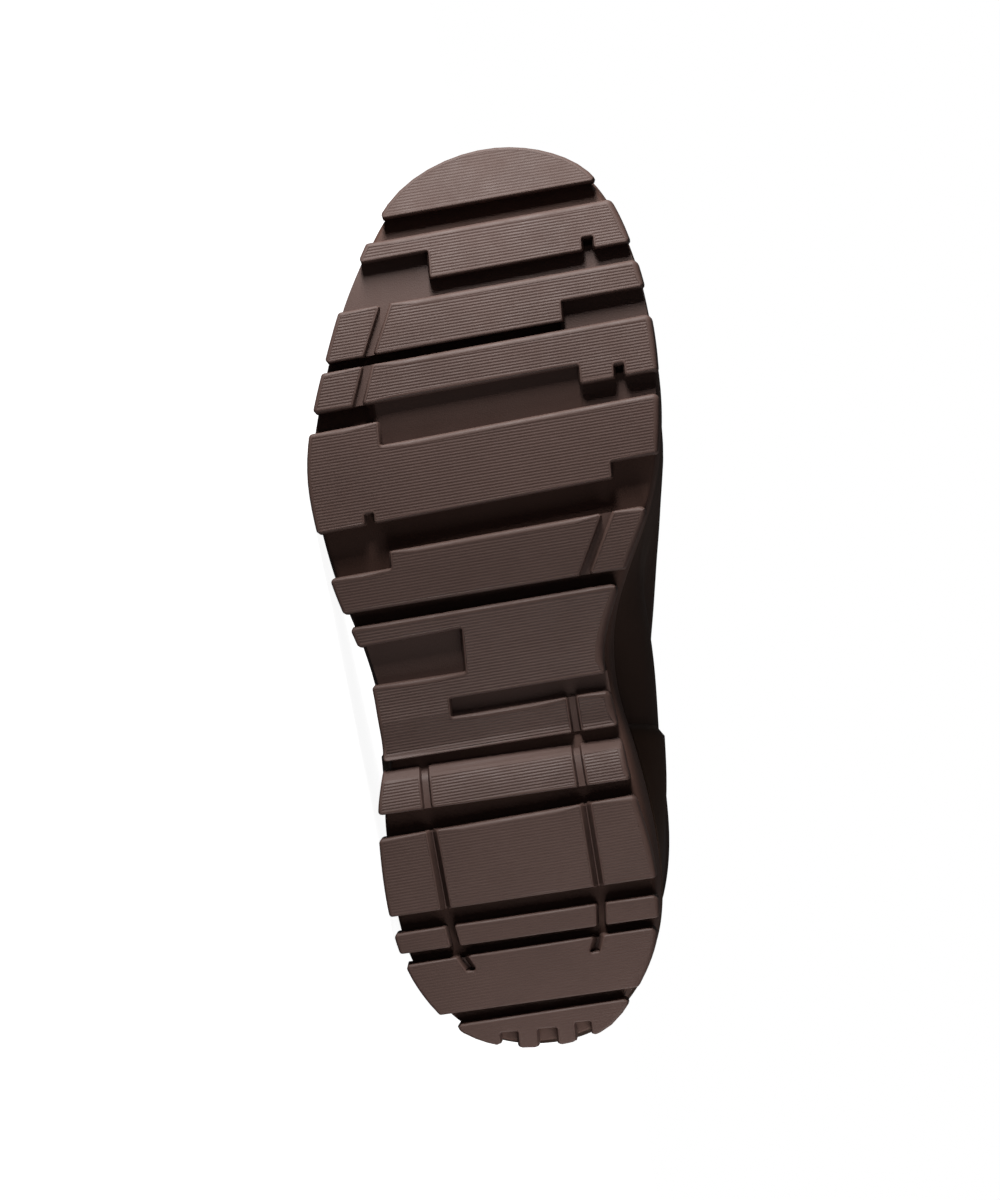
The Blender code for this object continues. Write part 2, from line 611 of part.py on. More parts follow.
# ------------------------------------------------------------------ materials
def rubber(name, colour, rough):
    mat = bpy.data.materials.new(name)
    mat.use_nodes = True
    shader = mat.node_tree.nodes["Principled BSDF"]
    shader.inputs["Base Color"].default_value = (*colour, 1.0)
    shader.inputs["Roughness"].default_value = rough
    return mat


def add_object(name, verts, faces, mat):
    mesh = bpy.data.meshes.new(name)
    mesh.from_pydata([tuple(v) for v in verts], [], faces)
    mesh.validate()
    mesh.update()
    obj = bpy.data.objects.new(name, mesh)
    bpy.context.scene.collection.objects.link(obj)
    if mat is not None:
        mesh.materials.append(mat)
    return obj


def bmesh_lists(bm):
    bm.verts.index_update()
    return [tuple(v.co) for v in bm.verts], [tuple(v.index for v in f.verts) for f in bm.faces]


def build():
    for obj in list(bpy.data.objects):
        bpy.data.objects.remove(obj, do_unlink=True)

    platform = platform_mesh()
    lugs = bmesh.new()
    for lug in LUGS:
        bent_prism(lugs, lug_outline(lug), tread_at, root_at)
    lugs = bmesh_lists(lugs)
    channels = bmesh.new()
    for c in CHANNELS:
        bent_prism(channels, channel_outline(c), lambda x: tread_at(x) - 3.0,
                   lambda x, d=c.depth: tread_at(x) + d)
    channels = bmesh_lists(channels)
    pads = bmesh.new()
    for pad in PADS:
        bent_prism(pads, pad.corners, lambda x, d=pad.depth: tread_at(x) + d,
                   lambda x: root_at(x) - 0.7)
    pads = bmesh_lists(pads)
    upper, counter, insole = shell_mesh(), counter_mesh(), insole_mesh()

    everything = [p for part in (platform, lugs, upper, counter) for p in part[0]]
    balance = Vector((124.0, 0.0, 52.0))
    turn = lying_matrix(everything, balance)
    laid = np.array(everything) @ np.array(turn).T
    low, high = laid.min(axis=0), laid.max(axis=0)
    origin = np.array([(low[0] + high[0]) / 2, (low[1] + high[1]) / 2, low[2]])

    def place(verts):
        return (np.array(verts) @ np.array(turn).T - origin) * MM

    sole = add_object("outsole", place(platform[0]), platform[1],
                      rubber("sole_rubber", (0.060, 0.042, 0.038), 0.62))
    lug_field = add_object("lug_field", place(lugs[0]), lugs[1], None)
    pad_field = add_object("pad_field", place(pads[0]), pads[1], None)
    channel_field = add_object("channel_field", place(channels[0]), channels[1], None)
    for tool, how in ((lug_field, "UNION"), (pad_field, "UNION"), (channel_field, "DIFFERENCE")):
        tool.hide_render = True
        tool.display_type = "WIRE"
        mod = sole.modifiers.new(tool.name, "BOOLEAN")
        mod.operation = how
        mod.solver = "EXACT"
        mod.object = tool
    add_object("upper", place(upper[0]), upper[1],
               rubber("upper_rubber", (0.040, 0.024, 0.018), 0.45))
    add_object("heel_counter", place(counter[0]), counter[1],
               rubber("counter_rubber", (0.046, 0.029, 0.021), 0.48))
    add_object("insole", place(insole[0]), insole[1],
               rubber("footbed_foam", (0.10, 0.085, 0.075), 0.85))


build()
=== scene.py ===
"""Looks of the platform rain boot, right foot, lying on its outer side.

Shapes are worked out in the boot's own frame in millimetres (x heel to toe,
y towards the inner side, z up from the tread), as the solids were, and laid
down with the same turn.
"""

import math
from collections import namedtuple

import bmesh
import bpy
import numpy as np
from mathutils import Matrix, Vector


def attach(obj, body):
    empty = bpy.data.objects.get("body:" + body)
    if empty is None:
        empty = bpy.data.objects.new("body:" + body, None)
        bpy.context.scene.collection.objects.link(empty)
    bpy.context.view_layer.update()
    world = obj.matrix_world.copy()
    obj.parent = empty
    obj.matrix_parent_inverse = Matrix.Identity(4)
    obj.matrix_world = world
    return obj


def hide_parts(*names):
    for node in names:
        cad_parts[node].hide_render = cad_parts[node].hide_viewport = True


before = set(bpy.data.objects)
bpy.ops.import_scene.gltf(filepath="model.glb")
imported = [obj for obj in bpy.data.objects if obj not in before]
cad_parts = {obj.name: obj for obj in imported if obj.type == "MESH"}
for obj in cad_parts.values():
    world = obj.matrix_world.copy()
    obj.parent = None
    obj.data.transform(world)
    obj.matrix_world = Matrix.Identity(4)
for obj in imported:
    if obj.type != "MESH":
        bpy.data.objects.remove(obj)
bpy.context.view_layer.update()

# ------------------------------------------------------------ named sizes, mm
MM = 0.001
SOLE_LENGTH = 274.3
BASE_TOE_INSET = 1.2
BASE_HEEL_INSET = 1.4
TOP_TOE_X = 274.9
TOP_HEEL_X = -1.2
FEATHER_INSET = 1.7
GAP = 0.35
WALL = 2.5
COUNTER_THICK = 1.3
COUNTER_GAP = 0.45
INSOLE_THICK = 4.0
INSOLE_CLEAR = 0.6
LUG_ROOT = 4.0
CHANNEL_WIDTH = 2.9

# turn and origin of the lying boot, boot frame to floor frame
TURN = np.array([[-0.9948156, 0.1016763, 0.0019551],
                 [0.0, -0.0192252, 0.9998153],
                 [0.1016951, 0.9946319, 0.0191256]])
ORIGIN = np.array([-133.98345, 128.44315, -37.40251])

# fine ridges across the lug faces
RIDGE_PITCH = 0.92
RIDGE_SLOPE = 0.080
RIDGE_DEPTH = {"toe_bar": 0.05, "fore_bar_1": 0.09, "fore_bar_2": 0.10, "fore_bar_3": 0.10,
               "ball_block": 0.085, "waist_bar": 0.09, "shank_panel": 0.14, "breast_bar": 0.13,
               "heel_block": 0.085, "heel_bar_1": 0.06, "heel_bar_2": 0.055, "heel_tip": 0.04}
PLAIN_CUT = 3.0             # cross cuts that let a smooth lug face bend

# rounding of the lug edges
EDGE_FRONT = 1.45
EDGE_TOE = 0.7
EDGE_BACK = 0.45
EDGE_BALL_BACK = 1.1        # behind the third bar
EDGE_MED = 1.4
EDGE_MED_ARCH = 2.3
EDGE_LAT = 0.8
EDGE_BREAST_FRONT = 0.7
EDGE_CUT = 0.28             # walls of steps, notches and channels
CORNER_MED = 1.9
CORNER_FRONT = 1.2
CORNER_BACK = 1.0
CORNER_STEP = 0.7
LUG_DRAFT = 0.45
CUT_SLOPE = (2.1, 0.50)     # the cut walls slope: depth and how far out
CUT_SLOPE_HEEL = (3.5, 1.38)  # the heel's channels close to a narrow floor
CUT_SLOPE_BAR = (6.0, 0.60)   # those across the first heel bar are deeper
CHANNEL_MORE = 0.5          # channels are worn a little deeper than they were cut
BAR_CHANNEL = 6.6
FRONT_REACH = {"fore_bar_3": 0.7, "ball_block": 0.6, "shank_panel": 0.6}  # edges further forward
BACK_REACH = {"waist_bar": 0.5}
BREAST_REACH = 2.6          # the breast bar's bevel stands forward of its face
BREAST_BEVEL = (3.4, 3.8)   # run and fall of that bevel
BREAST_SOFT = (7.5, 0.95)   # run and fall of the soft edge behind it
SHANK_TIP = (12.0, 1.9)     # the shank panel falls away towards its back edge
SHANK_LIP = (2.8, 0.85)     # run and rise of the lip at the shank panel's back edge
BALL_RAMP = (188.4, 0.100, 2.2, -0.16)  # the ball groove's floor falls away towards the heel
BALL_END = 4.5              # its outer end slopes down this far
POCKET_MORE = 0.5           # the outer pocket's floor lies a little deeper
FLOOR_UNDER = 1.4           # how far the shallow floors run in under the lugs
FLOOR_INSET = 0.9           # and how far they stay inside the outline
TOE_FLOOR, STEP_FLOOR, BALL_FLOOR = 5.0, 4.9, 4.9

# heel counter, cut from the upper's own skin
COUNTER_TURN = 72.0
COUNTER_TOP_BACK = 5.1
COUNTER_TOP_FRONT = 3.7
COUNTER_CORNER = 0.26
COUNTER_BOTTOM = 0.05
COUNTER_EDGE = 1.5          # rounding of its free edge

# ---------------------------------------------- half widths along the sole, mm
# base: platform block at the tread, lug: outer ends of the lugs,
# top: upper edge of the platform, wide: widest outline of the upper
Station = namedtuple(
    "Station", "x base_lat base_med lug_lat lug_med top_lat top_med wide_lat wide_med")
STATIONS = (
    Station(0, 0.0, 0.0, 0.0, 0.0, 0.0, 0.0, 0.0, 0.0),
    Station(3, -15.4, 16.8, -16.6, 18.8, -16.6, 17.6, -15.7, 15.6),
    Station(9, -24.7, 24.5, -26.3, 26.4, -26.1, 25.5, -24.9, 23.6),
    Station(16, -30.4, 29.5, -32.3, 31.4, -31.8, 31.1, -30.8, 29.6),
    Station(28, -36.6, 36.1, -38.6, 37.4, -38.0, 37.5, -37.6, 35.1),
    Station(43, -39.9, 39.1, -42.0, 39.7, -41.2, 40.3, -41.0, 37.7),
    Station(64, -41.0, 38.2, -43.2, 37.4, -42.2, 39.8, -42.4, 41.3),
    Station(78, -40.3, 36.1, -42.3, 34.4, -41.7, 37.9, -42.7, 43.1),
    Station(90, -37.9, 34.0, -40.2, 32.7, -40.1, 35.6, -42.7, 43.7),
    Station(104, -39.1, 31.2, -40.8, 30.5, -40.7, 32.6, -43.2, 44.1),
    Station(116, -40.6, 30.7, -42.1, 29.3, -42.0, 32.0, -44.4, 44.2),
    Station(130, -44.5, 33.3, -46.2, 32.9, -45.7, 34.1, -47.4, 43.5),
    Station(145, -49.1, 39.4, -50.8, 39.6, -50.3, 40.1, -51.3, 43.3),
    Station(160, -52.2, 46.1, -53.7, 46.8, -53.3, 46.8, -54.1, 47.3),
    Station(178, -53.9, 50.9, -55.3, 51.5, -55.0, 51.8, -55.7, 52.4),
    Station(196, -50.9, 52.6, -52.4, 53.2, -52.1, 53.4, -53.1, 52.8),
    Station(214, -45.7, 51.6, -46.7, 53.0, -46.9, 52.4, -47.3, 51.7),
    Station(230, -39.6, 49.6, -40.8, 50.9, -40.9, 50.5, -41.0, 49.7),
    Station(244.5, -32.6, 46.0, -33.7, 47.4, -33.8, 47.0, -33.8, 45.8),
    Station(257, -25.1, 40.7, -26.6, 42.4, -26.2, 41.8, -25.9, 41.0),
    Station(266.2, -15.6, 33.4, -17.1, 35.3, -16.8, 34.4, -16.3, 33.9),
    Station(271.6, -5.0, 23.6, -6.1, 25.3, -5.8, 24.6, -5.4, 24.2),
    Station(274.3, 9.6, 9.6, 9.6, 9.6, 9.6, 9.6, 9.6, 9.6),
)

# ------------------------------------------------- heights along the sole, mm
Level = namedtuple("Level", "x tread groove top")
LEVELS = (
    Level(0, 0.0, 6.5, 46.0),
    Level(40, 0.0, 6.5, 46.0),
    Level(74, 0.0, 6.5, 44.8),
    Level(80, 0.9, 6.8, 44.3),
    Level(87, 2.2, 7.9, 43.6),
    Level(93, 5.0, 9.7, 43.0),
    Level(97, 5.3, 10.2, 42.6),
    Level(104, 5.35, 10.3, 41.8),
    Level(118, 4.6, 9.8, 40.2),
    Level(138, 2.2, 8.4, 37.9),
    Level(152, 0.5, 6.9, 36.5),
    Level(160, 0.0, 6.5, 35.8),
    Level(176, 0.0, 6.5, 35.28),
    Level(188, 0.25, 6.7, 35.05),
    Level(197, 0.85, 7.3, 35.0),
    Level(205, 1.75, 8.1, 35.4),
    Level(222, 4.45, 10.6, 36.8),
    Level(243, 9.2, 14.8, 39.6),
    Level(262, 14.8, 20.1, 42.8),
    Level(274.3, 18.9, 23.7, 44.7),
)

# --------------------------------------------------- lugs: edges at y = 0, mm
# each edge runs x = edge + slope * y; a step changes the edge at y = step
Lug = namedtuple(
    "Lug", "name front_slope front_lat front_med front_step "
           "back_slope back_lat back_med back_step")
LUGS = (
    Lug("toe_bar", None, None, None, 0.0, 0.090, 257.7, 257.7, 0.0),
    Lug("fore_bar_1", 0.094, 250.9, 250.9, 0.0, 0.094, 245.3, 236.7, -13.2),
    Lug("fore_bar_2", 0.090, 231.1, 231.1, 0.0, 0.090, 216.4, 222.5, 25.9),
    Lug("fore_bar_3", 0.0925, 212.9, 212.9, 0.0, 0.0925, 201.9, 196.2, 29.7),
    Lug("ball_block", 0.100, 195.7, 188.4, -32.5, 0.100, 166.1, 171.1, 36.7),
    Lug("waist_bar", 0.090, 151.3, 156.4, -32.2, 0.075, 138.9, 138.9, 0.0),
    Lug("shank_panel", 0.081, 134.5, 134.5, 0.0, 0.068, 92.7, 92.7, 0.0),
    Lug("breast_bar", 0.058, 86.9, 86.9, 0.0, 0.0565, 76.5, 76.5, 0.0),
    Lug("heel_block", 0.088, 70.5, 70.5, 0.0, 0.0635, 45.7, 45.7, 0.0),
    Lug("heel_bar_1", 0.0634, 40.4, 40.4, 0.0, 0.0577, 33.9, 33.9, 0.0),
    Lug("heel_bar_2", 0.0663, 30.7, 30.7, 0.0, 0.0569, 13.9, 13.9, 0.0),
    Lug("heel_tip", 0.0683, 10.5, 10.5, 0.0, None, None, None, 0.0),
)

# notches cut into the back edge of a lug
Notch = namedtuple("Notch", "lug y_from y_to depth")
NOTCHES = (
    Notch("fore_bar_1", 33.6, 37.3, 3.9),
    Notch("fore_bar_3", 40.1, 43.4, 3.9),
    Notch("ball_block", -39.1, -36.1, 3.2),
    Notch("heel_tip", -11.8, -6.1, 4.0),
    Notch("heel_tip", -0.5, 5.8, 5.4),
    Notch("heel_tip", 11.0, 16.2, 4.6),
)

# pockets cut into the shank panel from one side, edges at y = 0
Pocket = namedtuple("Pocket", "side front_slope front back_slope back inner_y")
POCKETS = (
    Pocket("lat", 0.0987, 129.8, 0.067, 116.0, -12.7),
    Pocket("med", 0.076, 108.9, 0.0823, 103.3, -18.4),
)

# shallower floors between the lugs: corner points and depth under the tread
Pad = namedtuple("Pad", "name depth corners")
PADS = (
    Pad("ball_groove", 3.5, ((184.4, -33.2), (199.5, -33.2), (205.4, 30.3), (190.7, 30.3))),
    Pad("pocket_lat", 3.6, ((112.7, -39.6), (114.6, -12.2), (129.2, -12.2), (126.2, -42.5))),
    Pad("pocket_med", 3.4, ((101.1, -18.9), (105.2, 30.6), (111.8, 30.0), (108.1, -18.9))),
)

# straight shallow channels across a lug, from its front to its back
Channel = namedtuple("Channel", "front_x front_y back_x back_y depth")
CHANNELS = (
    Channel(230.0, -27.0, 212.4, -34.04, 1.6),
    Channel(211.0, -34.03, 195.5, -39.1, 1.6),
    Channel(162.0, 35.6, 139.2, 24.8, 1.6),
    Channel(105.0, 18.6, 92.0, 19.44, 1.6),
    Channel(89.0, -28.0, 72.0, -27.5, 1.6),
    Channel(90.0, 18.59, 76.0, 19.81, 1.6),
    Channel(71.0, -27.3, 42.5, -24.64, 3.4),
    Channel(74.0, 20.07, 45.5, 22.13, 3.4),
    Channel(40.6, -24.32, 31.6, -22.61, 3.4),
    Channel(43.5, 22.42, 34.2, 21.66, 3.4),
    Channel(30.3, -21.93, 24.5, -18.0, 3.4),
    Channel(33.3, 21.81, 27.7, 18.6, 3.4),
)

# ------------------------------------ sections of the upper, sole to collar, mm
# back and front points of each section in side view; foot: share of the foot
# outline; bulge: share of the widest outline; girth: scale of the foot outline;
# lat and med: half widths of the shaft oval
Ring = namedtuple("Ring", "name back_x back_z front_x front_z foot bulge girth lat med")
RINGS = (
    Ring("feather", 0.6, 46.3, 273.1, 45.0, 1.00, 0.00, 1.000, 42.0, 40.0),
    Ring("welt", -1.3, 53.0, 274.1, 50.7, 1.00, 0.50, 1.000, 42.0, 41.0),
    Ring("low", -2.4, 62.0, 272.9, 58.7, 1.00, 0.88, 1.000, 42.5, 42.0),
    Ring("quarter", -2.4, 72.0, 267.8, 67.0, 1.00, 1.00, 0.995, 43.0, 43.0),
    Ring("toe_top", -1.6, 81.0, 257.0, 75.0, 1.00, 1.00, 0.975, 43.0, 43.0),
    Ring("vamp_1", -0.2, 89.0, 240.6, 81.5, 1.00, 1.00, 0.945, 43.0, 43.0),
    Ring("vamp_2", 1.6, 96.5, 221.2, 88.0, 0.94, 1.00, 0.915, 42.5, 42.0),
    Ring("vamp_3", 3.6, 104.5, 200.0, 96.5, 0.82, 1.00, 0.890, 42.0, 41.0),
    Ring("vamp_4", 5.4, 114.0, 179.0, 107.5, 0.62, 1.00, 0.870, 41.0, 40.2),
    Ring("instep", 6.8, 126.0, 159.0, 122.0, 0.38, 1.00, 0.860, 40.6, 39.8),
    Ring("bend", 7.4, 141.0, 142.0, 139.5, 0.18, 1.00, 0.850, 41.2, 39.8),
    Ring("ankle", 6.8, 159.0, 129.5, 158.5, 0.06, 1.00, 0.850, 42.7, 40.2),
    Ring("shaft_1", 4.6, 182.0, 122.0, 182.0, 0.00, 1.00, 0.850, 44.3, 40.8),
    Ring("shaft_2", 1.8, 208.0, 118.5, 208.0, 0.00, 1.00, 0.850, 45.8, 41.2),
    Ring("shaft_3", -0.6, 234.0, 117.5, 234.0, 0.00, 1.00, 0.850, 47.0, 41.5),
    Ring("collar", -2.0, 257.0, 117.5, 257.0, 0.00, 1.00, 0.850, 47.8, 41.6),
)
SHAFT_SQUARENESS = 2.25


# ----------------------------------------------------------- curve functions
def spline(xs, ys):
    """Natural cubic spline through short columns."""
    xs = np.asarray(xs, float)
    ys = np.asarray(ys, float)
    n = len(xs)
    h = np.diff(xs)
    a = np.eye(n)
    b = np.zeros(n)
    for i in range(1, n - 1):
        a[i, i - 1:i + 2] = (h[i - 1], 2 * (h[i - 1] + h[i]), h[i])
        b[i] = 6 * ((ys[i + 1] - ys[i]) / h[i] - (ys[i] - ys[i - 1]) / h[i - 1])
    m = np.linalg.solve(a, b)

    def at(x):
        x = np.clip(np.asarray(x, float), xs[0], xs[-1])
        k = np.clip(np.searchsorted(xs, x, side="right") - 1, 0, n - 2)
        u, v = x - xs[k], xs[k + 1] - x
        return (m[k] * v ** 3 + m[k + 1] * u ** 3) / (6 * h[k]) \
            + (ys[k] / h[k] - m[k] * h[k] / 6) * v \
            + (ys[k + 1] / h[k] - m[k + 1] * h[k] / 6) * u
    return at


def monotone(xs, ys):
    """Monotone cubic through short columns, flat stretches stay flat."""
    xs = np.asarray(xs, float)
    ys = np.asarray(ys, float)
    h = np.diff(xs)
    d = np.diff(ys) / h
    m = np.zeros(len(xs))
    m[0], m[-1] = d[0], d[-1]
    for i in range(1, len(xs) - 1):
        if d[i - 1] * d[i] > 0:
            w1, w2 = 2 * h[i] + h[i - 1], h[i] + 2 * h[i - 1]
            m[i] = (w1 + w2) / (w1 / d[i - 1] + w2 / d[i])

    def at(x):
        x = np.clip(np.asarray(x, float), xs[0], xs[-1])
        k = np.clip(np.searchsorted(xs, x, side="right") - 1, 0, len(h) - 1)
        t = (x - xs[k]) / h[k]
        return ys[k] * (1 + 2 * t) * (1 - t) ** 2 + ys[k + 1] * t * t * (3 - 2 * t) \
            + h[k] * (m[k] * t * (1 - t) ** 2 - m[k + 1] * t * t * (1 - t))
    return at


def turn_of(x):
    """Cosine parameter 0..1 of a station along the sole."""
    return np.arccos(np.clip(1 - 2 * np.asarray(x, float) / SOLE_LENGTH, -1, 1)) / math.pi


def station_of(q):
    return SOLE_LENGTH * (1 - np.cos(math.pi * np.asarray(q, float))) / 2


TURNS = turn_of([s.x for s in STATIONS])
WIDTH = {name: spline(TURNS, [getattr(s, name) for s in STATIONS])
         for name in Station._fields if name != "x"}
HEIGHT = {name: monotone([s.x for s in LEVELS], [getattr(s, name) for s in LEVELS])
          for name in ("tread", "groove", "top")}


def width(name, x):
    return WIDTH[name](turn_of(x))


# ------------------------------------------------------------------- the lugs
def edge_meets(edge, slope, side):
    """Point where a lug edge meets the outline of the lugs."""
    y = 0.0
    for _ in range(60):
        y = 0.5 * y + 0.5 * float(width("lug_" + side, edge + slope * y))
    return edge + slope * y, y


def outline_run(side, x_from, x_to, count):
    qs = np.linspace(float(turn_of(x_from)), float(turn_of(x_to)), count)
    return [(float(station_of(q)), float(WIDTH["lug_" + side](q))) for q in qs]


def side_run(side, lug, x_from, x_to, count):
    """One end of a lug along the outline, with any pocket cut into it."""
    run = outline_run(side, x_from, x_to, count)
    if lug.name != "shank_panel":
        return run
    for p in POCKETS:
        if p.side != side:
            continue
        front = edge_meets(p.front, p.front_slope, side)
        back = edge_meets(p.back, p.back_slope, side)
        cut = [front, (p.front + p.front_slope * p.inner_y, p.inner_y),
               (p.back + p.back_slope * p.inner_y, p.inner_y), back]
        if x_from < x_to:
            cut = cut[::-1]
        lo, hi = min(front[0], back[0]) - 1.5, max(front[0], back[0]) + 1.5
        before = [v for v in run if (v[0] > hi if x_from > x_to else v[0] < lo)]
        after = [v for v in run if (v[0] < lo if x_from > x_to else v[0] > hi)]
        run = before + cut + after
    return run


def edge_run(slope, lat_x, med_x, step, y_lat, y_med, notches=()):
    """A lug edge from its outer to its inner end with its step and notches."""
    pts = [(lat_x + slope * y_lat, y_lat)]
    marks = []
    if abs(lat_x - med_x) > 1e-6:
        marks.append((step, [(lat_x + slope * step, step), (med_x + slope * step, step)]))
    for n in notches:
        near = lat_x if n.y_to < step or abs(lat_x - med_x) < 1e-6 else med_x
        marks.append((n.y_from, [
            (near + slope * n.y_from, n.y_from), (near + slope * n.y_from + n.depth, n.y_from),
            (near + slope * n.y_to + n.depth, n.y_to), (near + slope * n.y_to, n.y_to)]))
    for _, run in sorted(marks):
        pts += run
    pts.append((med_x + slope * y_med, y_med))
    return pts


def heel_arc(y_lat, y_med, count, notches):
    """Back edge of the heel tip, outer to inner, with its notches."""
    qs = np.linspace(0, 0.25, 80)
    ys = np.concatenate([WIDTH["lug_lat"](qs)[::-1], WIDTH["lug_med"](qs)[1:]])
    xs = np.concatenate([station_of(qs)[::-1], station_of(qs)[1:]])
    pts = [(float(np.interp(y, ys, xs)), float(y)) for y in np.linspace(y_lat, y_med, count)]
    pts = [p for p in pts if not any(n.y_from - 0.7 < p[1] < n.y_to + 0.7 for n in notches)]
    for n in notches:
        a, b = float(np.interp(n.y_from, ys, xs)), float(np.interp(n.y_to, ys, xs))
        deep = max(a, b) + n.depth
        pts += [(a, n.y_from), (deep, n.y_from + 1e-4), (deep, n.y_to - 1e-4), (b, n.y_to)]
    return sorted(pts, key=lambda p: p[1])


def lug_outline(lug, end_count=4):
    """Closed outline of one lug on the tread, as (x, y) points."""
    notches = [n for n in NOTCHES if n.lug == lug.name]
    if lug.front_slope is None:
        bl, bm = (edge_meets(lug.back_lat, lug.back_slope, s) for s in ("lat", "med"))
        arc = outline_run("lat", bl[0], SOLE_LENGTH, 9) + \
            outline_run("med", SOLE_LENGTH, bm[0], 9)[1:]
        return arc
    fl = edge_meets(lug.front_lat, lug.front_slope, "lat")
    fm = edge_meets(lug.front_med, lug.front_slope, "med")
    front = edge_run(lug.front_slope, lug.front_lat, lug.front_med, lug.front_step, fl[1], fm[1])
    if lug.back_slope is None:
        back = heel_arc(fl[1], fm[1], 17, notches)
        return front + back[::-1][1:-1]
    bl = edge_meets(lug.back_lat, lug.back_slope, "lat")
    bm = edge_meets(lug.back_med, lug.back_slope, "med")
    back = edge_run(lug.back_slope, lug.back_lat, lug.back_med, lug.back_step,
                    bl[1], bm[1], notches)
    med = side_run("med", lug, fm[0], bm[0], end_count)
    lat = side_run("lat", lug, bl[0], fl[0], end_count)
    return front[:-1] + med + back[::-1][1:-1] + lat[:-1]




# ------------------------------------------------------------------ the upper
RING_COLUMN = {name: spline(range(len(RINGS)), [getattr(r, name) for r in RINGS])
               for name in Ring._fields if name not in ("name", "foot", "bulge")}
for _name in ("foot", "bulge"):
    RING_COLUMN[_name] = monotone(range(len(RINGS)), [getattr(r, _name) for r in RINGS])
TOP_RING = len(RINGS) - 1


def upper_surface(phi, s):
    """Outer skin of the upper: phi from the toe over the inner side, s in sections."""
    phi, s = np.broadcast_arrays(np.asarray(phi, float), np.asarray(s, float))
    col = {k: f(s) for k, f in RING_COLUMN.items()}
    share = (1 + np.cos(phi)) / 2
    x = col["back_x"] + (col["front_x"] - col["back_x"]) * share
    q = turn_of(SOLE_LENGTH * share)
    med = np.sin(phi) >= 0
    end = np.sin(math.pi * q)
    feather = np.where(med, WIDTH["top_med"](q) - FEATHER_INSET * end,
                       WIDTH["top_lat"](q) + FEATHER_INSET * end)
    wide = np.where(med, WIDTH["wide_med"](q), WIDTH["wide_lat"](q))
    foot_y = (feather + (wide - feather) * col["bulge"]) * col["girth"]
    oval = (1 - np.abs(np.cos(phi)) ** SHAFT_SQUARENESS) ** (1 / SHAFT_SQUARENESS)
    shaft_y = np.where(med, col["med"], -col["lat"]) * oval
    y = col["foot"] * foot_y + (1 - col["foot"]) * shaft_y
    rise = col["back_z"] + (col["front_z"] - col["back_z"]) * share
    top = HEIGHT["top"](SOLE_LENGTH * share)
    level = HEIGHT["top"](0.0) + (HEIGHT["top"](SOLE_LENGTH) - HEIGHT["top"](0.0)) * share
    z = rise + col["foot"] * (top - level)
    return np.stack([x, y, z], axis=-1)


def upper_normal(phi, s, step=0.02):
    lo, hi = np.maximum(s - step, 0.0), np.minimum(s + step, TOP_RING)
    along = upper_surface(phi + step, s) - upper_surface(phi - step, s)
    up = upper_surface(phi, hi) - upper_surface(phi, lo)
    n = np.cross(along, up)
    return n / np.linalg.norm(n, axis=-1, keepdims=True)


def upper_offset(phi, s, out):
    return upper_surface(phi, s) + upper_normal(phi, s) * out




def place(points):
    """Boot frame in millimetres to the floor frame in metres."""
    return (np.asarray(points, float) @ TURN.T - ORIGIN) * MM


# -------------------------------------------------------------- mesh helpers
def new_piece(name, verts, faces, mats, smooth=True, sharp=None, flat=None):
    mesh = bpy.data.meshes.new(name)
    mesh.from_pydata([tuple(v) for v in verts], [], [tuple(f) for f in faces])
    obj = bpy.data.objects.new(name, mesh)
    bpy.context.scene.collection.objects.link(obj)
    for m in mats:
        mesh.materials.append(m)
    if sharp is not None:
        mesh.set_sharp_from_angle(angle=math.radians(sharp))
    shades = [smooth] * len(mesh.polygons) if flat is None else [not f for f in flat]
    mesh.polygons.foreach_set("use_smooth", shades)
    mesh.update()
    return obj


def ring_index(count):
    return [("med", i) for i in range(0, count + 1)] + \
           [("lat", i) for i in range(count - 1, 0, -1)]


def strip_cap(first, n, m, up):
    def lat(i):
        return first + (m - i) % m if i < n else first + n
    faces = []
    for i in range(n):
        loop = [first + i, first + i + 1, lat(i + 1), lat(i)]
        loop = [v for k, v in enumerate(loop) if v not in loop[:k]]
        faces.append(tuple(loop[::-1]) if up else tuple(loop))
    return faces


# ------------------------------------------------------------- platform block
WALL_RUN = (  # height share, extra rise in mm, inset in mm
    (0.0, 0.0, 1.5), (0.0, 0.12, 0.8), (0.0, 0.45, 0.3), (0.0, 1.1, 0.0), (0.0, 2.0, 0.0),
    (0.10, 0.0, 0.0), (0.25, 0.0, 0.0), (0.45, 0.0, 0.0), (0.65, 0.0, 0.0), (0.85, 0.0, 0.0),
    (1.0, -1.2, 0.0), (1.0, -0.5, 0.18), (1.0, -0.13, 0.6), (1.0, 0.0, 1.2))
WALL_BULGE = 0.7
HEEL_RIM = 0.3              # the rim is crisper at the heel's end
MED_ROUND = 3.5             # and a soft shoulder along the inner arch
MED_REACH = (38.0, 62.0, 132.0, 156.0)


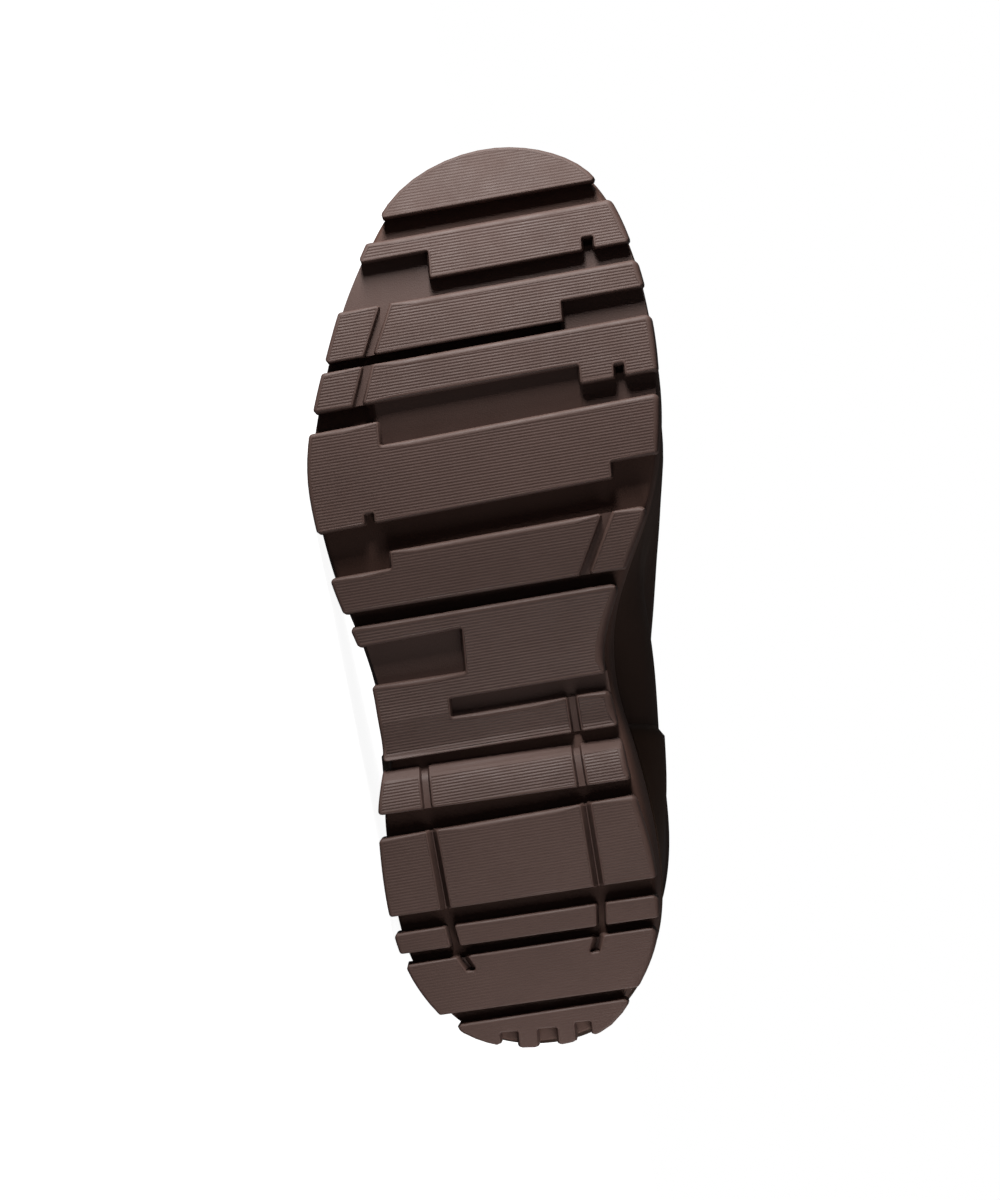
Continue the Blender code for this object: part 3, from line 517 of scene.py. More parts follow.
def wall_ring(q, side, level, rise, inset):
    x_full = station_of(q)
    start = BASE_HEEL_INSET + (TOP_HEEL_X - BASE_HEEL_INSET) * level + inset * HEEL_RIM
    end = SOLE_LENGTH - BASE_TOE_INSET
    end = end + (TOP_TOE_X - end) * level - inset
    x = start + (end - start) * x_full / SOLE_LENGTH
    low, high = WIDTH["base_" + side](q), WIDTH["top_" + side](q)
    swell = np.sin(math.pi * q)
    y = low + (high - low) * level
    y = y + (WALL_BULGE * math.sin(math.pi * level) * swell - inset * swell ** 0.5) \
        * (1 if side == "med" else -1)
    z0, z1 = HEIGHT["groove"](x_full), HEIGHT["top"](x_full)
    lift = (z1 - z0) * level + rise
    if side == "med":
        near = np.clip(MED_ROUND - lift, 0, MED_ROUND)
        share = np.interp(x_full, MED_REACH, (0.0, 1.0, 1.0, 0.0))
        share = share * share * (3 - 2 * share)
        y = y - share * (MED_ROUND - np.sqrt(MED_ROUND ** 2 - near ** 2))
    return np.stack([x, y, z0 + lift], axis=-1)


def platform_piece(mats):
    n = 190
    q = np.linspace(0, 1, n + 1)
    order = ring_index(n)
    m = len(order)
    verts, faces = [], []
    for level, rise, inset in WALL_RUN:
        sides = {s: wall_ring(q, s, level, rise, inset) for s in ("med", "lat")}
        verts += [sides[s][i] for s, i in order]
    for k in range(len(WALL_RUN) - 1):
        for i in range(m):
            j = (i + 1) % m
            faces.append((k * m + j, k * m + i, (k + 1) * m + i, (k + 1) * m + j))
    faces += strip_cap(0, n, m, False) + strip_cap((len(WALL_RUN) - 1) * m, n, m, True)
    return new_piece("sole_platform", place(verts), faces, mats, sharp=50)


# ----------------------------------------------------------------- lug shapes
def signed_area(poly):
    return 0.5 * sum(a[0] * b[1] - b[0] * a[1] for a, b in zip(poly, poly[1:] + poly[:1]))


def tidy(poly):
    """Counter-clockwise, with no doubled points."""
    out = []
    for p in poly:
        if not out or math.hypot(p[0] - out[-1][0], p[1] - out[-1][1]) > 0.02:
            out.append((float(p[0]), float(p[1])))
    if math.hypot(out[0][0] - out[-1][0], out[0][1] - out[-1][1]) < 0.02:
        out.pop()
    return out if signed_area(out) > 0 else out[::-1]


def half_plane(poly, point, normal):
    """Keep the part of an outline on the inner side of a line."""
    out = []
    for a, b in zip(poly, poly[1:] + poly[:1]):
        da = (a[0] - point[0]) * normal[0] + (a[1] - point[1]) * normal[1]
        db = (b[0] - point[0]) * normal[0] + (b[1] - point[1]) * normal[1]
        if da <= 0:
            out.append(a)
        if (da < 0 < db) or (db < 0 < da):
            t = da / (da - db)
            out.append((a[0] + t * (b[0] - a[0]), a[1] + t * (b[1] - a[1])))
    return out


def channel_sides(c, half=CHANNEL_WIDTH / 2):
    """Points and normals of a channel's two walls; normals point off the lug."""
    dx, dy = c.back_x - c.front_x, c.back_y - c.front_y
    size = math.hypot(dx, dy)
    nx, ny = dy / size, -dx / size          # towards +y for a run from front to back
    if ny < 0:
        nx, ny = -nx, -ny
    mid = (c.front_x, c.front_y)
    low = ((mid[0] - nx * half, mid[1] - ny * half), (nx, ny))
    high = ((mid[0] + nx * half, mid[1] + ny * half), (-nx, -ny))
    return low, high


def meet(line_a, line_b):
    (px, py), (ax, ay) = line_a
    (qx, qy), (bx, by) = line_b
    t = ((qx - px) * by - (qy - py) * bx) / (ax * by - ay * bx)
    return px + t * ax, py + t * ay


def lug_faces():
    """Every raised outline on the tread: (lug name, outline), channels cut out."""
    runs = {"fore_bar_2": [0], "fore_bar_3": [1], "waist_bar": [2], "breast_bar": [4, 5],
            "heel_block": [6, 7], "heel_bar_1": [8, 9]}
    faces, floors = [], []
    for lug in LUGS:
        if lug.name == "breast_bar":
            lug = lug._replace(front_lat=lug.front_lat + BREAST_REACH,
                               front_med=lug.front_med + BREAST_REACH)
        if lug.name in FRONT_REACH:
            lug = lug._replace(front_lat=lug.front_lat + FRONT_REACH[lug.name],
                               front_med=lug.front_med + FRONT_REACH[lug.name])
        if lug.name in BACK_REACH:
            lug = lug._replace(back_lat=lug.back_lat + BACK_REACH[lug.name],
                               back_med=lug.back_med + BACK_REACH[lug.name])
        poly = tidy(lug_outline(lug, 9))
        if lug.name == "shank_panel":
            main, tip, floor = shank_split(lug)
            faces += [(lug.name, main), (lug.name, tip)]
            floors.append((lug.name, floor, CHANNELS[3].depth + CHANNEL_MORE))
            continue
        if lug.name == "heel_bar_2":
            for slot in SLOTS:
                poly = slot_front(poly, lug, slot)
                floors.append((lug.name, slot_floor(lug, slot), CHANNELS[10].depth))
            faces.append((lug.name, tidy(poly)))
            continue
        rest = poly
        for k in runs.get(lug.name, []):
            low, high = channel_sides(CHANNELS[k])
            faces.append((lug.name, tidy(half_plane(rest, *low))))
            wide_low, wide_high = channel_sides(CHANNELS[k], CHANNEL_WIDTH / 2 + 0.6)
            strip = half_plane(half_plane(rest, wide_high[0], wide_low[1]),
                               wide_low[0], wide_high[1])
            deep = CHANNELS[k].depth + (0.0 if lug.name == "heel_block" else CHANNEL_MORE)
            deep = BAR_CHANNEL if lug.name == "heel_bar_1" else deep
            floors.append((lug.name, tidy(strip), deep))
            rest = half_plane(rest, *high)
        faces.append((lug.name, tidy(rest)))
    floors += [(pad.name, tidy(list(pad.corners)),
                pad.depth + (POCKET_MORE if pad.name == "pocket_lat" else 0.0)) for pad in PADS]
    return faces, floors + groove_floors()


def groove_floors():
    """Shallower floors of the wider grooves in front of the ball."""
    lug = {g.name: g for g in LUGS}
    floors = []
    for name, ahead, behind, start, depth in (
            ("toe_floor", "fore_bar_1", "fore_bar_2", None, TOE_FLOOR),
            ("step_floor", "fore_bar_2", "fore_bar_3", 25.2, STEP_FLOOR),
            ("ball_floor", "fore_bar_3", "ball_block", 30.0, BALL_FLOOR)):
        a, b = lug[ahead], lug[behind]
        low = b.front_med - FLOOR_UNDER
        high = a.back_med + FLOOR_UNDER
        fm, bm = edge_meets(high, a.back_slope, "med"), edge_meets(low, b.front_slope, "med")
        poly = [(x, y - FLOOR_INSET) for x, y in outline_run("med", fm[0], bm[0], 5)]
        if start is None:
            up = a.back_lat + FLOOR_UNDER
            fl, bl = edge_meets(up, a.back_slope, "lat"), edge_meets(low, b.front_slope, "lat")
            step = a.back_step + FLOOR_UNDER
            poly += [(x, y + FLOOR_INSET) for x, y in outline_run("lat", bl[0], fl[0], 7)]
            poly += [(up + a.back_slope * step, step), (high + a.back_slope * step, step)]
        else:
            poly += [(low + b.front_slope * start, start), (high + a.back_slope * start, start)]
        floors.append((name, tidy(poly), depth))
    return floors


def shank_split(lug):
    """The shank panel with its two pockets, and the tip beyond its channel."""
    c = CHANNELS[3]
    low, high = channel_sides(c)
    along = (c.back_x - c.front_x, c.back_y - c.front_y)
    med_pocket = [p for p in POCKETS if p.side == "med"][0]
    pocket_edge = ((med_pocket.back, 0.0), (med_pocket.back_slope, 1.0))
    back_edge = ((lug.back_lat, 0.0), (lug.back_slope, 1.0))
    c1l, c2l = meet((low[0], along), pocket_edge), meet((low[0], along), back_edge)
    c1h, c2h = meet((high[0], along), pocket_edge), meet((high[0], along), back_edge)
    fl = edge_meets(lug.front_lat, lug.front_slope, "lat")
    fm = edge_meets(lug.front_med, lug.front_slope, "med")
    bl = edge_meets(lug.back_lat, lug.back_slope, "lat")
    bm = edge_meets(lug.back_med, lug.back_slope, "med")
    pf = edge_meets(med_pocket.front, med_pocket.front_slope, "med")
    pb = edge_meets(med_pocket.back, med_pocket.back_slope, "med")
    inner_f = (med_pocket.front + med_pocket.front_slope * med_pocket.inner_y, med_pocket.inner_y)
    inner_b = (med_pocket.back + med_pocket.back_slope * med_pocket.inner_y, med_pocket.inner_y)
    lat = side_run("lat", lug, bl[0], fl[0], 24)
    main = [fl] + outline_run("med", fm[0], pf[0], 8) + [inner_f, inner_b, c1l, c2l] + lat[:-1]
    tip = [c1h] + outline_run("med", pb[0], bm[0], 6) + [c2h]
    floor = [c1l, c1h, c2h, c2l]
    cx, cy = sum(p[0] for p in floor) / 4, sum(p[1] for p in floor) / 4
    floor = [(cx + (p[0] - cx) * 0.98, cy + (p[1] - cy) * 1.4) for p in floor]
    return tidy(main), tidy(tip), tidy(floor)


# the two curved slots run in from the front edge of the second heel bar:
# points of the outer and of the inner wall, front to back
Slot = namedtuple("Slot", "low high")
SLOTS = (
    Slot(((30.2, -23.0), (28.6, -22.5), (26.7, -21.4), (24.9, -20.1)),
         ((30.7, -20.0), (28.9, -19.3), (26.7, -18.2), (24.8, -16.8))),
    Slot(((32.3, 19.3), (30.6, 19.0), (28.8, 18.2), (27.2, 17.1)),
         ((32.6, 22.3), (31.0, 22.0), (29.2, 21.4), (27.5, 20.6))),
)


def slot_front(poly, lug, slot):
    """A short slot that ends inside the lug, cut in from its front edge."""
    def on_edge(a, b):
        run = (b[0] - a[0], b[1] - a[1])
        return meet((a, run), ((lug.front_lat, 0.0), (lug.front_slope, 1.0)))
    run = [on_edge(slot.low[0], slot.low[1])] + list(slot.low[1:]) + \
        list(slot.high[:0:-1]) + [on_edge(slot.high[0], slot.high[1])]
    best, spot = None, None
    for i, (s, t) in enumerate(zip(poly, poly[1:] + poly[:1])):
        lo, hi = sorted((s[1], t[1]))
        on = abs(s[0] - lug.front_lat - lug.front_slope * s[1]) + \
            abs(t[0] - lug.front_lat - lug.front_slope * t[1])
        if lo < run[0][1] and hi > run[-1][1] and on < 0.2:
            best, spot = i, (s, t)
    if spot[0][1] > spot[1][1]:
        run = run[::-1]
    return poly[:best + 1] + run + poly[best + 1:]


def slot_floor(lug, slot):
    """Floor of a slot, a little wider than its walls and short of the front edge."""
    low = [(x, y - 0.5) for x, y in slot.low]
    high = [(x, y + 0.5) for x, y in slot.high]
    low[-1], high[-1] = (low[-1][0] - 0.5, low[-1][1]), (high[-1][0] - 0.5, high[-1][1])
    poly = low + high[::-1]
    return tidy(half_plane(poly, (lug.front_lat - 0.5, 0.0),
                           (1.0, -lug.front_slope)))


def sharp_corners(poly):
    flags = []
    for i, p in enumerate(poly):
        a, b = Vector(poly[i - 1]) - Vector(p), Vector(poly[(i + 1) % len(poly)]) - Vector(p)
        flags.append(a.angle(b) < math.radians(158))
    return flags


def clear_corners(poly, room=2.6):
    """Drop outline points that crowd a corner, so that it can be rounded."""
    sharp = sharp_corners(poly)
    n = len(poly)
    drop = set()
    for i in range(n):
        if not sharp[i]:
            continue
        for way in (1, -1):
            k = (i + way) % n
            while not sharp[k] and math.dist(poly[i], poly[k]) < room:
                drop.add(k)
                k = (k + way) % n
    return [p for k, p in enumerate(poly) if k not in drop]


def fillet(poly, name):
    """Round each corner; returns points with the inset each can take."""
    poly = clear_corners(poly)
    sharp = sharp_corners(poly)
    n = len(poly)
    out = []
    for i in range(n):
        p0, p1, p2 = (Vector(poly[(i + k) % n]) for k in (-1, 0, 1))
        a, b = (p0 - p1), (p2 - p1)
        la, lb = a.length, b.length
        a.normalize()
        b.normalize()
        turn = a.angle(b)
        if turn > math.radians(158):
            out.append((p1.x, p1.y, 9.0))
            continue
        convex = (p1 - p0).cross(p2 - p1) > 0
        at_edge = abs(p1.y - float(width("lug_med", p1.x))) < 0.6 or \
            abs(p1.y - float(width("lug_lat", p1.x))) < 0.6
        at_end = CORNER_FRONT if a.x + b.x < 0 else CORNER_BACK
        if p1.y > 0 and a.x + b.x < 0 and name not in ("toe_bar", "heel_tip"):
            at_end = CORNER_MED
        radius = at_end if at_edge else CORNER_STEP
        share_a, share_b = (0.42 if sharp[(i + k) % n] else 0.85 for k in (-1, 1))
        reach = min(radius / math.tan(turn / 2), share_a * la, share_b * lb)
        radius = reach * math.tan(turn / 2)
        start, end = p1 + a * reach, p1 + b * reach
        centre = p1 + (a + b).normalized() * (radius / math.sin(turn / 2))
        s0, s1 = start - centre, end - centre
        sweep = s0.angle_signed(s1)
        count = 5 if radius > 1.0 else 4
        for k in range(count):
            t = k / (count - 1)
            ang = -sweep * t
            v = Vector((s0.x * math.cos(ang) - s0.y * math.sin(ang),
                        s0.x * math.sin(ang) + s0.y * math.cos(ang)))
            q = centre + v
            out.append((q.x, q.y, 0.88 * radius if convex else 9.0))
    return out


def densify(points, step):
    out = []
    for a, b in zip(points, points[1:] + points[:1]):
        out.append(a)
        n = int(math.hypot(b[0] - a[0], b[1] - a[1]) / step)
        for k in range(1, n):
            t = k / n
            out.append((a[0] + t * (b[0] - a[0]), a[1] + t * (b[1] - a[1]), 9.0))
    return out


def ring_normals(pts):
    nxt, prv = np.roll(pts, -1, 0), np.roll(pts, 1, 0)
    e1, e2 = pts - prv, nxt - pts
    n1 = np.stack([e1[:, 1], -e1[:, 0]], 1) / np.linalg.norm(e1, axis=1)[:, None]
    n2 = np.stack([e2[:, 1], -e2[:, 0]], 1) / np.linalg.norm(e2, axis=1)[:, None]
    n = n1 + n2
    n /= np.linalg.norm(n, axis=1)[:, None]
    scale = 1 / np.clip((n * n1).sum(1), 0.6, 1.0)
    return n, scale


def edge_rounding(pts, normals, limit, name):
    x = pts[:, 0]
    arch = np.clip(1 - np.abs(x - 113) / 32, 0, 1)
    arch = arch * arch * (3 - 2 * arch)
    med = EDGE_MED + (EDGE_MED_ARCH - EDGE_MED) * arch
    front = EDGE_BREAST_FRONT if name == "breast_bar" else EDGE_FRONT
    if name in ("heel_bar_1", "heel_bar_2", "heel_tip"):
        front = 0.9
    if name == "toe_bar":
        front = EDGE_TOE
    back = EDGE_BALL_BACK if name == "fore_bar_3" else EDGE_BACK
    along = np.where(normals[:, 0] > 0, front, back)
    at_med = np.abs(pts[:, 1] - WIDTH["lug_med"](turn_of(x))) < 0.9
    at_lat = np.abs(pts[:, 1] - WIDTH["lug_lat"](turn_of(x))) < 0.9
    across = np.where(normals[:, 1] > 0, np.where(at_med, med, EDGE_CUT),
                      np.where(at_lat, EDGE_LAT, EDGE_CUT))
    r = along * normals[:, 0] ** 2 + across * normals[:, 1] ** 2
    r = np.minimum(r, limit)
    gap = np.linalg.norm(np.roll(pts, -1, 0) - pts, axis=1)
    for _ in range(40):
        r = np.minimum(r, np.roll(r, -1) + 0.55 * gap)
        r = np.minimum(r, np.roll(r, 1) + 0.55 * np.roll(gap, 1))
    return r


def bevel_back(co):
    """Distance behind the front line of the breast bar's bevel."""
    lug = [g for g in LUGS if g.name == "breast_bar"][0]
    return lug.front_lat + BREAST_REACH + lug.front_slope * co.y - co.x


def bevel_fall(co):
    """Fall of the breast bar's face over its bevel and the soft edge behind it."""
    back = bevel_back(co)
    run, fall = BREAST_BEVEL
    soft, dip = BREAST_SOFT
    return fall * min(max(1 - back / run, 0.0), 1.0) + \
        dip * min(max(1 - (back - run) / soft, 0.0), 1.0) ** 2


def shank_ahead(co):
    """Distance ahead of the shank panel's back edge."""
    lug = [g for g in LUGS if g.name == "shank_panel"][0]
    return co.x - lug.back_lat - lug.back_slope * co.y


def shank_fall(co):
    run, fall = SHANK_TIP
    return fall * min(max(1 - shank_ahead(co) / run, 0.0), 1.0)


def loft_lug(bm, name, poly):
    """One raised lug: rounded edges, drafted sides and a ridged face."""
    pts3 = densify(fillet(poly, name), 1.0 if name == "breast_bar" else 7.0)
    pts = np.array([(p[0], p[1]) for p in pts3])
    limit = np.array([p[2] for p in pts3])
    normals, scale = ring_normals(pts)
    r = edge_rounding(pts, normals, limit, name)
    shove = normals * scale[:, None]
    root = np.array([float(HEIGHT["groove"](x) - HEIGHT["tread"](x)) + LUG_ROOT for x in pts[:, 0]])
    on_lat = (np.abs(pts[:, 1] - WIDTH["lug_lat"](turn_of(pts[:, 0]))) < 0.9) * normals[:, 1] ** 2
    on_med = (np.abs(pts[:, 1] - WIDTH["lug_med"](turn_of(pts[:, 0]))) < 0.9) * normals[:, 1] ** 2
    cut = np.clip(normals[:, 1] ** 2 - on_lat - on_med, 0, 1)
    draft = LUG_DRAFT * (1 - on_lat)[:, None]
    deep, out = CUT_SLOPE_HEEL if name in ("heel_block", "heel_bar_2") else CUT_SLOPE
    if name == "heel_bar_1":
        deep, out = CUT_SLOPE_BAR
    slope = (out * cut)[:, None]
    rings = [(pts - shove * 0.3, root), (pts + shove * (0.85 * draft * (1 - cut)[:, None] + slope), root - 0.8),
             (pts + shove * (0.4 * draft * (1 - cut)[:, None] + slope), 0.4 * root * (1 - cut) + deep * cut)]
    for a in np.radians([0, 22, 45, 68, 90]):
        rings.append((pts - shove * (r * (1 - math.cos(a)))[:, None], r * (1 - math.sin(a))))
    rings.append((pts - shove * (r + 0.22)[:, None], 0 * r))
    rings.append((pts - shove * (r + 0.36)[:, None], 0 * r))
    n = len(pts)
    rows = [[bm.verts.new((p[0], p[1], float(z))) for p, z in zip(ring, zs)] for ring, zs in rings]
    for low, high in zip(rows[:-1], rows[1:]):
        for i in range(n):
            j = (i + 1) % n
            bm.faces.new((low[j], low[i], high[i], high[j]))
    bm.faces.new(rows[0])
    face = bm.faces.new(rows[-1][::-1])
    face.material_index = 1
    depth = RIDGE_DEPTH[name]
    step = RIDGE_PITCH / 2 if depth else PLAIN_CUT
    reach = np.array([p.co.x - RIDGE_SLOPE * p.co.y for p in rows[-1]])
    live = [face]
    k = math.ceil(reach.min() / step)
    while k * step < reach.max() - 0.05:
        if k * step > reach.min() + 0.05:
            geom = set(live)
            for f in live:
                geom.update(f.edges)
                geom.update(f.verts)
            bmesh.ops.bisect_plane(bm, geom=list(geom), dist=1e-5,
                                   plane_co=(k * step, 0, 0), plane_no=(1, -RIDGE_SLOPE, 0))
            live = [f for f in bm.faces if f.material_index == 1]
        k += 1
    if depth:
        for v in {v for f in live for v in f.verts}:
            t = (v.co.x - RIDGE_SLOPE * v.co.y) / step
            if name == "breast_bar" and bevel_back(v.co) < BREAST_BEVEL[0]:
                continue
            v.co.z += depth * (1 - abs(t % 2 - 1))
    if name == "shank_panel":
        run, rise = SHANK_LIP
        for v in bm.verts:
            v.co.z -= rise * min(max(1 - shank_ahead(v.co) / run, 0.0), 1.0) ** 2
            v.co.z += shank_fall(v.co)
    if name == "breast_bar":
        for v in bm.verts:
            v.co.z += bevel_fall(v.co)


def lugs_piece(mats):
    total = bmesh.new()
    faces, floors = lug_faces()
    for name, poly in faces:
        bm = bmesh.new()
        loft_lug(bm, name, poly)
        bmesh.ops.triangulate(bm, faces=[f for f in bm.faces if len(f.verts) > 4])
        mesh = bpy.data.meshes.new("tmp")
        bm.to_mesh(mesh)
        bm.free()
        total.from_mesh(mesh)
        bpy.data.meshes.remove(mesh)
    for name, poly, depth in floors:
        bm = bmesh.new()
        n = len(poly)
        low = [bm.verts.new((x, y, depth)) for x, y in poly]
        high = [bm.verts.new((x, y, depth + 4.4)) for x, y in poly]
        if name == "ball_groove":
            for v in high:
                v.co.y -= BALL_END if v.co.y < 0 else 0.0
        bm.faces.new(low[::-1])
        bm.faces.new(high)
        for i in range(n):
            j = (i + 1) % n
            bm.faces.new((low[i], low[j], high[j], high[i]))
        cut = 1.0 if name == "breast_bar" else PLAIN_CUT
        at = math.ceil(min(p[0] for p in poly) / cut) * cut
        while at < max(p[0] for p in poly) - 0.2:
            bmesh.ops.bisect_plane(bm, geom=bm.verts[:] + bm.edges[:] + bm.faces[:], dist=1e-5,
                                   plane_co=(at, 0, 0), plane_no=(1, 0, 0))
            at += cut
        if name == "breast_bar":
            for v in bm.verts:
                v.co.z += bevel_fall(v.co)
        if name == "shank_panel":
            for v in bm.verts:
                v.co.z += shank_fall(v.co)
        if name == "ball_groove":
            edge, slope, drop, tip = BALL_RAMP
            for v in bm.verts:
                v.co.z += drop + tip * (v.co.x - edge - slope * v.co.y)
        mesh = bpy.data.meshes.new("tmp")
        bm.to_mesh(mesh)
        bm.free()
        total.from_mesh(mesh)
        bpy.data.meshes.remove(mesh)
    for v in total.verts:
        v.co.z += float(HEIGHT["tread"](v.co.x))
    total.normal_update()
    verts = place([tuple(v.co) for v in total.verts])
    total.verts.index_update()
    polys = [[v.index for v in f.verts] for f in total.faces]
    flat = [f.material_index == 1 for f in total.faces]
    total.free()
    return new_piece("sole_lugs", verts, polys, mats, sharp=24, flat=flat)


# ---------------------------------------------------------------- the upper
# soft folds, given one by one: centre in the side view, direction of the fold,
# half length, half width, height in mm (minus is a trough)
Fold = namedtuple("Fold", "x z along length breadth height")
FOLDS = (
    Fold(137.0, 146.0, -14.0, 34.0, 5.2, -0.95),
    Fold(146.0, 133.0, -22.0, 36.0, 4.6, -0.75),
    Fold(142.0, 139.5, -18.0, 36.0, 3.6, 0.55),
    Fold(131.0, 157.0, -8.0, 28.0, 5.0, -0.45),
    Fold(9.0, 137.0, 12.0, 30.0, 5.0, -0.80),
    Fold(8.0, 148.0, 6.0, 26.0, 5.0, -0.55),
    Fold(8.0, 142.5, 9.0, 28.0, 3.6, 0.40),
    Fold(196.0, 97.0, -62.0, 30.0, 5.5, -0.55),
    Fold(183.0, 103.0, -60.0, 30.0, 5.0, -0.45),
    Fold(189.5, 100.0, -61.0, 30.0, 3.8, 0.35),
)
BEAD_TALL = 6.5             # rolled edge at the collar
BEAD_PROUD = 1.0


def fold_height(points):
    """Sum of the soft folds at points of the upper, in mm along the normal."""
    x, z = points[..., 0], points[..., 2]
    total = np.zeros(x.shape)
    for f in FOLDS:
        c, s = math.cos(math.radians(f.along)), math.sin(math.radians(f.along))
        along = (x - f.x) * c + (z - f.z) * s
        across = -(x - f.x) * s + (z - f.z) * c
        total += f.height * np.exp(-(along / f.length) ** 2 - (across / f.breadth) ** 2)
    return total


def section_steps(rows):
    """Section counts spaced evenly along the front and back of the upper."""
    fine = np.linspace(0, TOP_RING, 900)
    line = np.stack([upper_surface(np.full(900, p), fine) for p in (0.0, 1.5, math.pi)])
    run = np.linalg.norm(np.diff(line, axis=1), axis=2).mean(0)
    run = np.concatenate([[0], np.cumsum(run)])
    return np.interp(np.linspace(0, run[-1], rows), run, fine)


def turn_steps(count):
    """Turns round the upper, evenly spaced by length at mid height."""
    fine = np.linspace(0, 2 * math.pi, 2001)
    line = (upper_surface(fine, np.full(2001, 3.0)) + upper_surface(fine, np.full(2001, 10.0))) / 2
    run = np.concatenate([[0], np.cumsum(np.linalg.norm(np.diff(line, axis=0), axis=1))])
    return np.interp(np.arange(count) / count * run[-1], run, fine)


def skin(phi, s, out):
    """The upper's outer skin with its folds, moved out by a distance."""
    g, t = np.meshgrid(phi, s)
    base = upper_surface(g, t)
    normal = upper_normal(g, t)
    return base + normal * (fold_height(base) + out)[..., None]


def tube_faces(rows, count, first=0, flip=False):
    faces = []
    for k in range(rows - 1):
        for i in range(count):
            j = (i + 1) % count
            quad = (first + k * count + i, first + k * count + j,
                    first + (k + 1) * count + j, first + (k + 1) * count + i)
            faces.append(quad[::-1] if flip else quad)
    return faces


def stitch_rows(a, b, count):
    return [(a + i, a + (i + 1) % count, b + (i + 1) % count, b + i) for i in range(count)]


def upper_piece(mats):
    count, rows = 176, 132
    phi, s = turn_steps(count), section_steps(rows)
    z_top = RINGS[-1].back_z
    outer = skin(phi, s, 0.0)
    drop = z_top - outer[..., 2]
    bead = np.clip(1 - drop / BEAD_TALL, 0, 1)
    swell = BEAD_PROUD * np.clip(np.sin(np.clip(bead, 0, 1) * math.pi * 0.5) * 1.4, 0, 1) ** 2
    g, t = np.meshgrid(phi, s)
    normal = upper_normal(g, t)
    outer = outer + normal * swell[..., None]
    inner = skin(phi, s, -WALL)
    grid = [outer[k] for k in range(rows)]
    # rolled rim between the two walls at the collar
    a, b = outer[-1], inner[-1]
    mid, half = (a + b) / 2, (a - b) / 2
    wide = np.linalg.norm(half, axis=1, keepdims=True)
    up = np.array([0, 0, 1.0])
    grid[-1] = a - up * 1.0
    for ang in np.radians([20, 45, 70, 90, 110, 135, 160]):
        grid.append(mid - up * 1.0 + half * math.cos(ang) + up * np.minimum(wide, 1.9) * math.sin(ang))
    inner[-1] = b - up * 1.0
    for k in range(rows - 1, -1, -1):
        grid.append(inner[k])
    # feather edge runs a little way down into the platform
    sunk_in, sunk_out = inner[0].copy(), outer[0].copy()
    sunk_in[:, 2] -= 0.9
    sunk_out[:, 2] -= 0.9
    grid = [sunk_out] + grid + [sunk_in]
    verts = np.concatenate(grid)
    faces = tube_faces(len(grid), count)
    faces += stitch_rows((len(grid) - 1) * count, 0, count)
    laid = place(verts)
    laid[:, 2] = np.maximum(laid[:, 2], 0.0)     # the rolled edge rests flat on the floor
    return new_piece("boot_upper", laid, faces, mats, sharp=60)


def counter_piece(mats):
    """Heel counter overlay with a rounded edge all round."""
    na, nb = 131, 37
    a = np.linspace(-1, 1, na)
    b = np.linspace(0, 1, nb)
    turn = -a * COUNTER_TURN
    phi = math.pi - np.radians(turn)
    near = np.clip((1 - np.abs(a)) / COUNTER_CORNER, 0, 1)
    corner = np.sqrt(1 - (1 - near) ** 2)
    top = COUNTER_TOP_FRONT + (COUNTER_TOP_BACK - COUNTER_TOP_FRONT) * np.cos(a * math.pi / 2) ** 2
    top = top - 1.1 * (1 - corner)
    s = COUNTER_BOTTOM + (top - COUNTER_BOTTOM)[:, None] * b[None, :]
    g = np.repeat(phi[:, None], nb, 1)
    base = upper_surface(g, s)
    normal = upper_normal(g, s)
    folds = fold_height(base)
    # distance to the free edges, along the skin
    up = np.linalg.norm(np.diff(base, axis=1), axis=2)
    to_top = np.concatenate([np.cumsum(up[:, ::-1], axis=1)[:, ::-1], np.zeros((na, 1))], 1)
    side = np.linalg.norm(np.diff(base, axis=0), axis=2)
    run = np.concatenate([np.zeros((1, nb)), np.cumsum(side, 0)], 0)
    to_side = np.minimum(run, run[-1:] - run)
    edge = np.minimum(to_top, to_side)
    share = np.clip(edge / COUNTER_EDGE, 0, 1)
    rise = np.sqrt(1 - (1 - share) ** 2) * (COUNTER_GAP + COUNTER_THICK + 0.1) - 0.1
    outer = base + normal * (folds + rise)[..., None]
    inner = base + normal * (folds - 0.35)[..., None]
    floor = HEIGHT["top"](np.clip(base[..., 0], 0, SOLE_LENGTH)) - 0.25
    for skin_ in (outer, inner):
        skin_[..., 2] = np.maximum(skin_[..., 2], floor + 0.6 * (s - COUNTER_BOTTOM))
    verts = np.concatenate([inner.reshape(-1, 3), outer.reshape(-1, 3)])
    shift, faces = na * nb, []
    for i in range(na - 1):
        for k in range(nb - 1):
            quad = (i * nb + k, (i + 1) * nb + k, (i + 1) * nb + k + 1, i * nb + k + 1)
            faces.append(tuple(shift + v for v in quad))
            faces.append(quad[::-1])
    rim = [i * nb for i in range(na)] + [(na - 1) * nb + k for k in range(1, nb)] + \
          [i * nb + nb - 1 for i in range(na - 2, -1, -1)] + [k for k in range(nb - 2, 0, -1)]
    for i, v in enumerate(rim):
        w = rim[(i + 1) % len(rim)]
        faces.append((v, w, shift + w, shift + v))
    return new_piece("counter", place(verts), faces, mats, sharp=55)


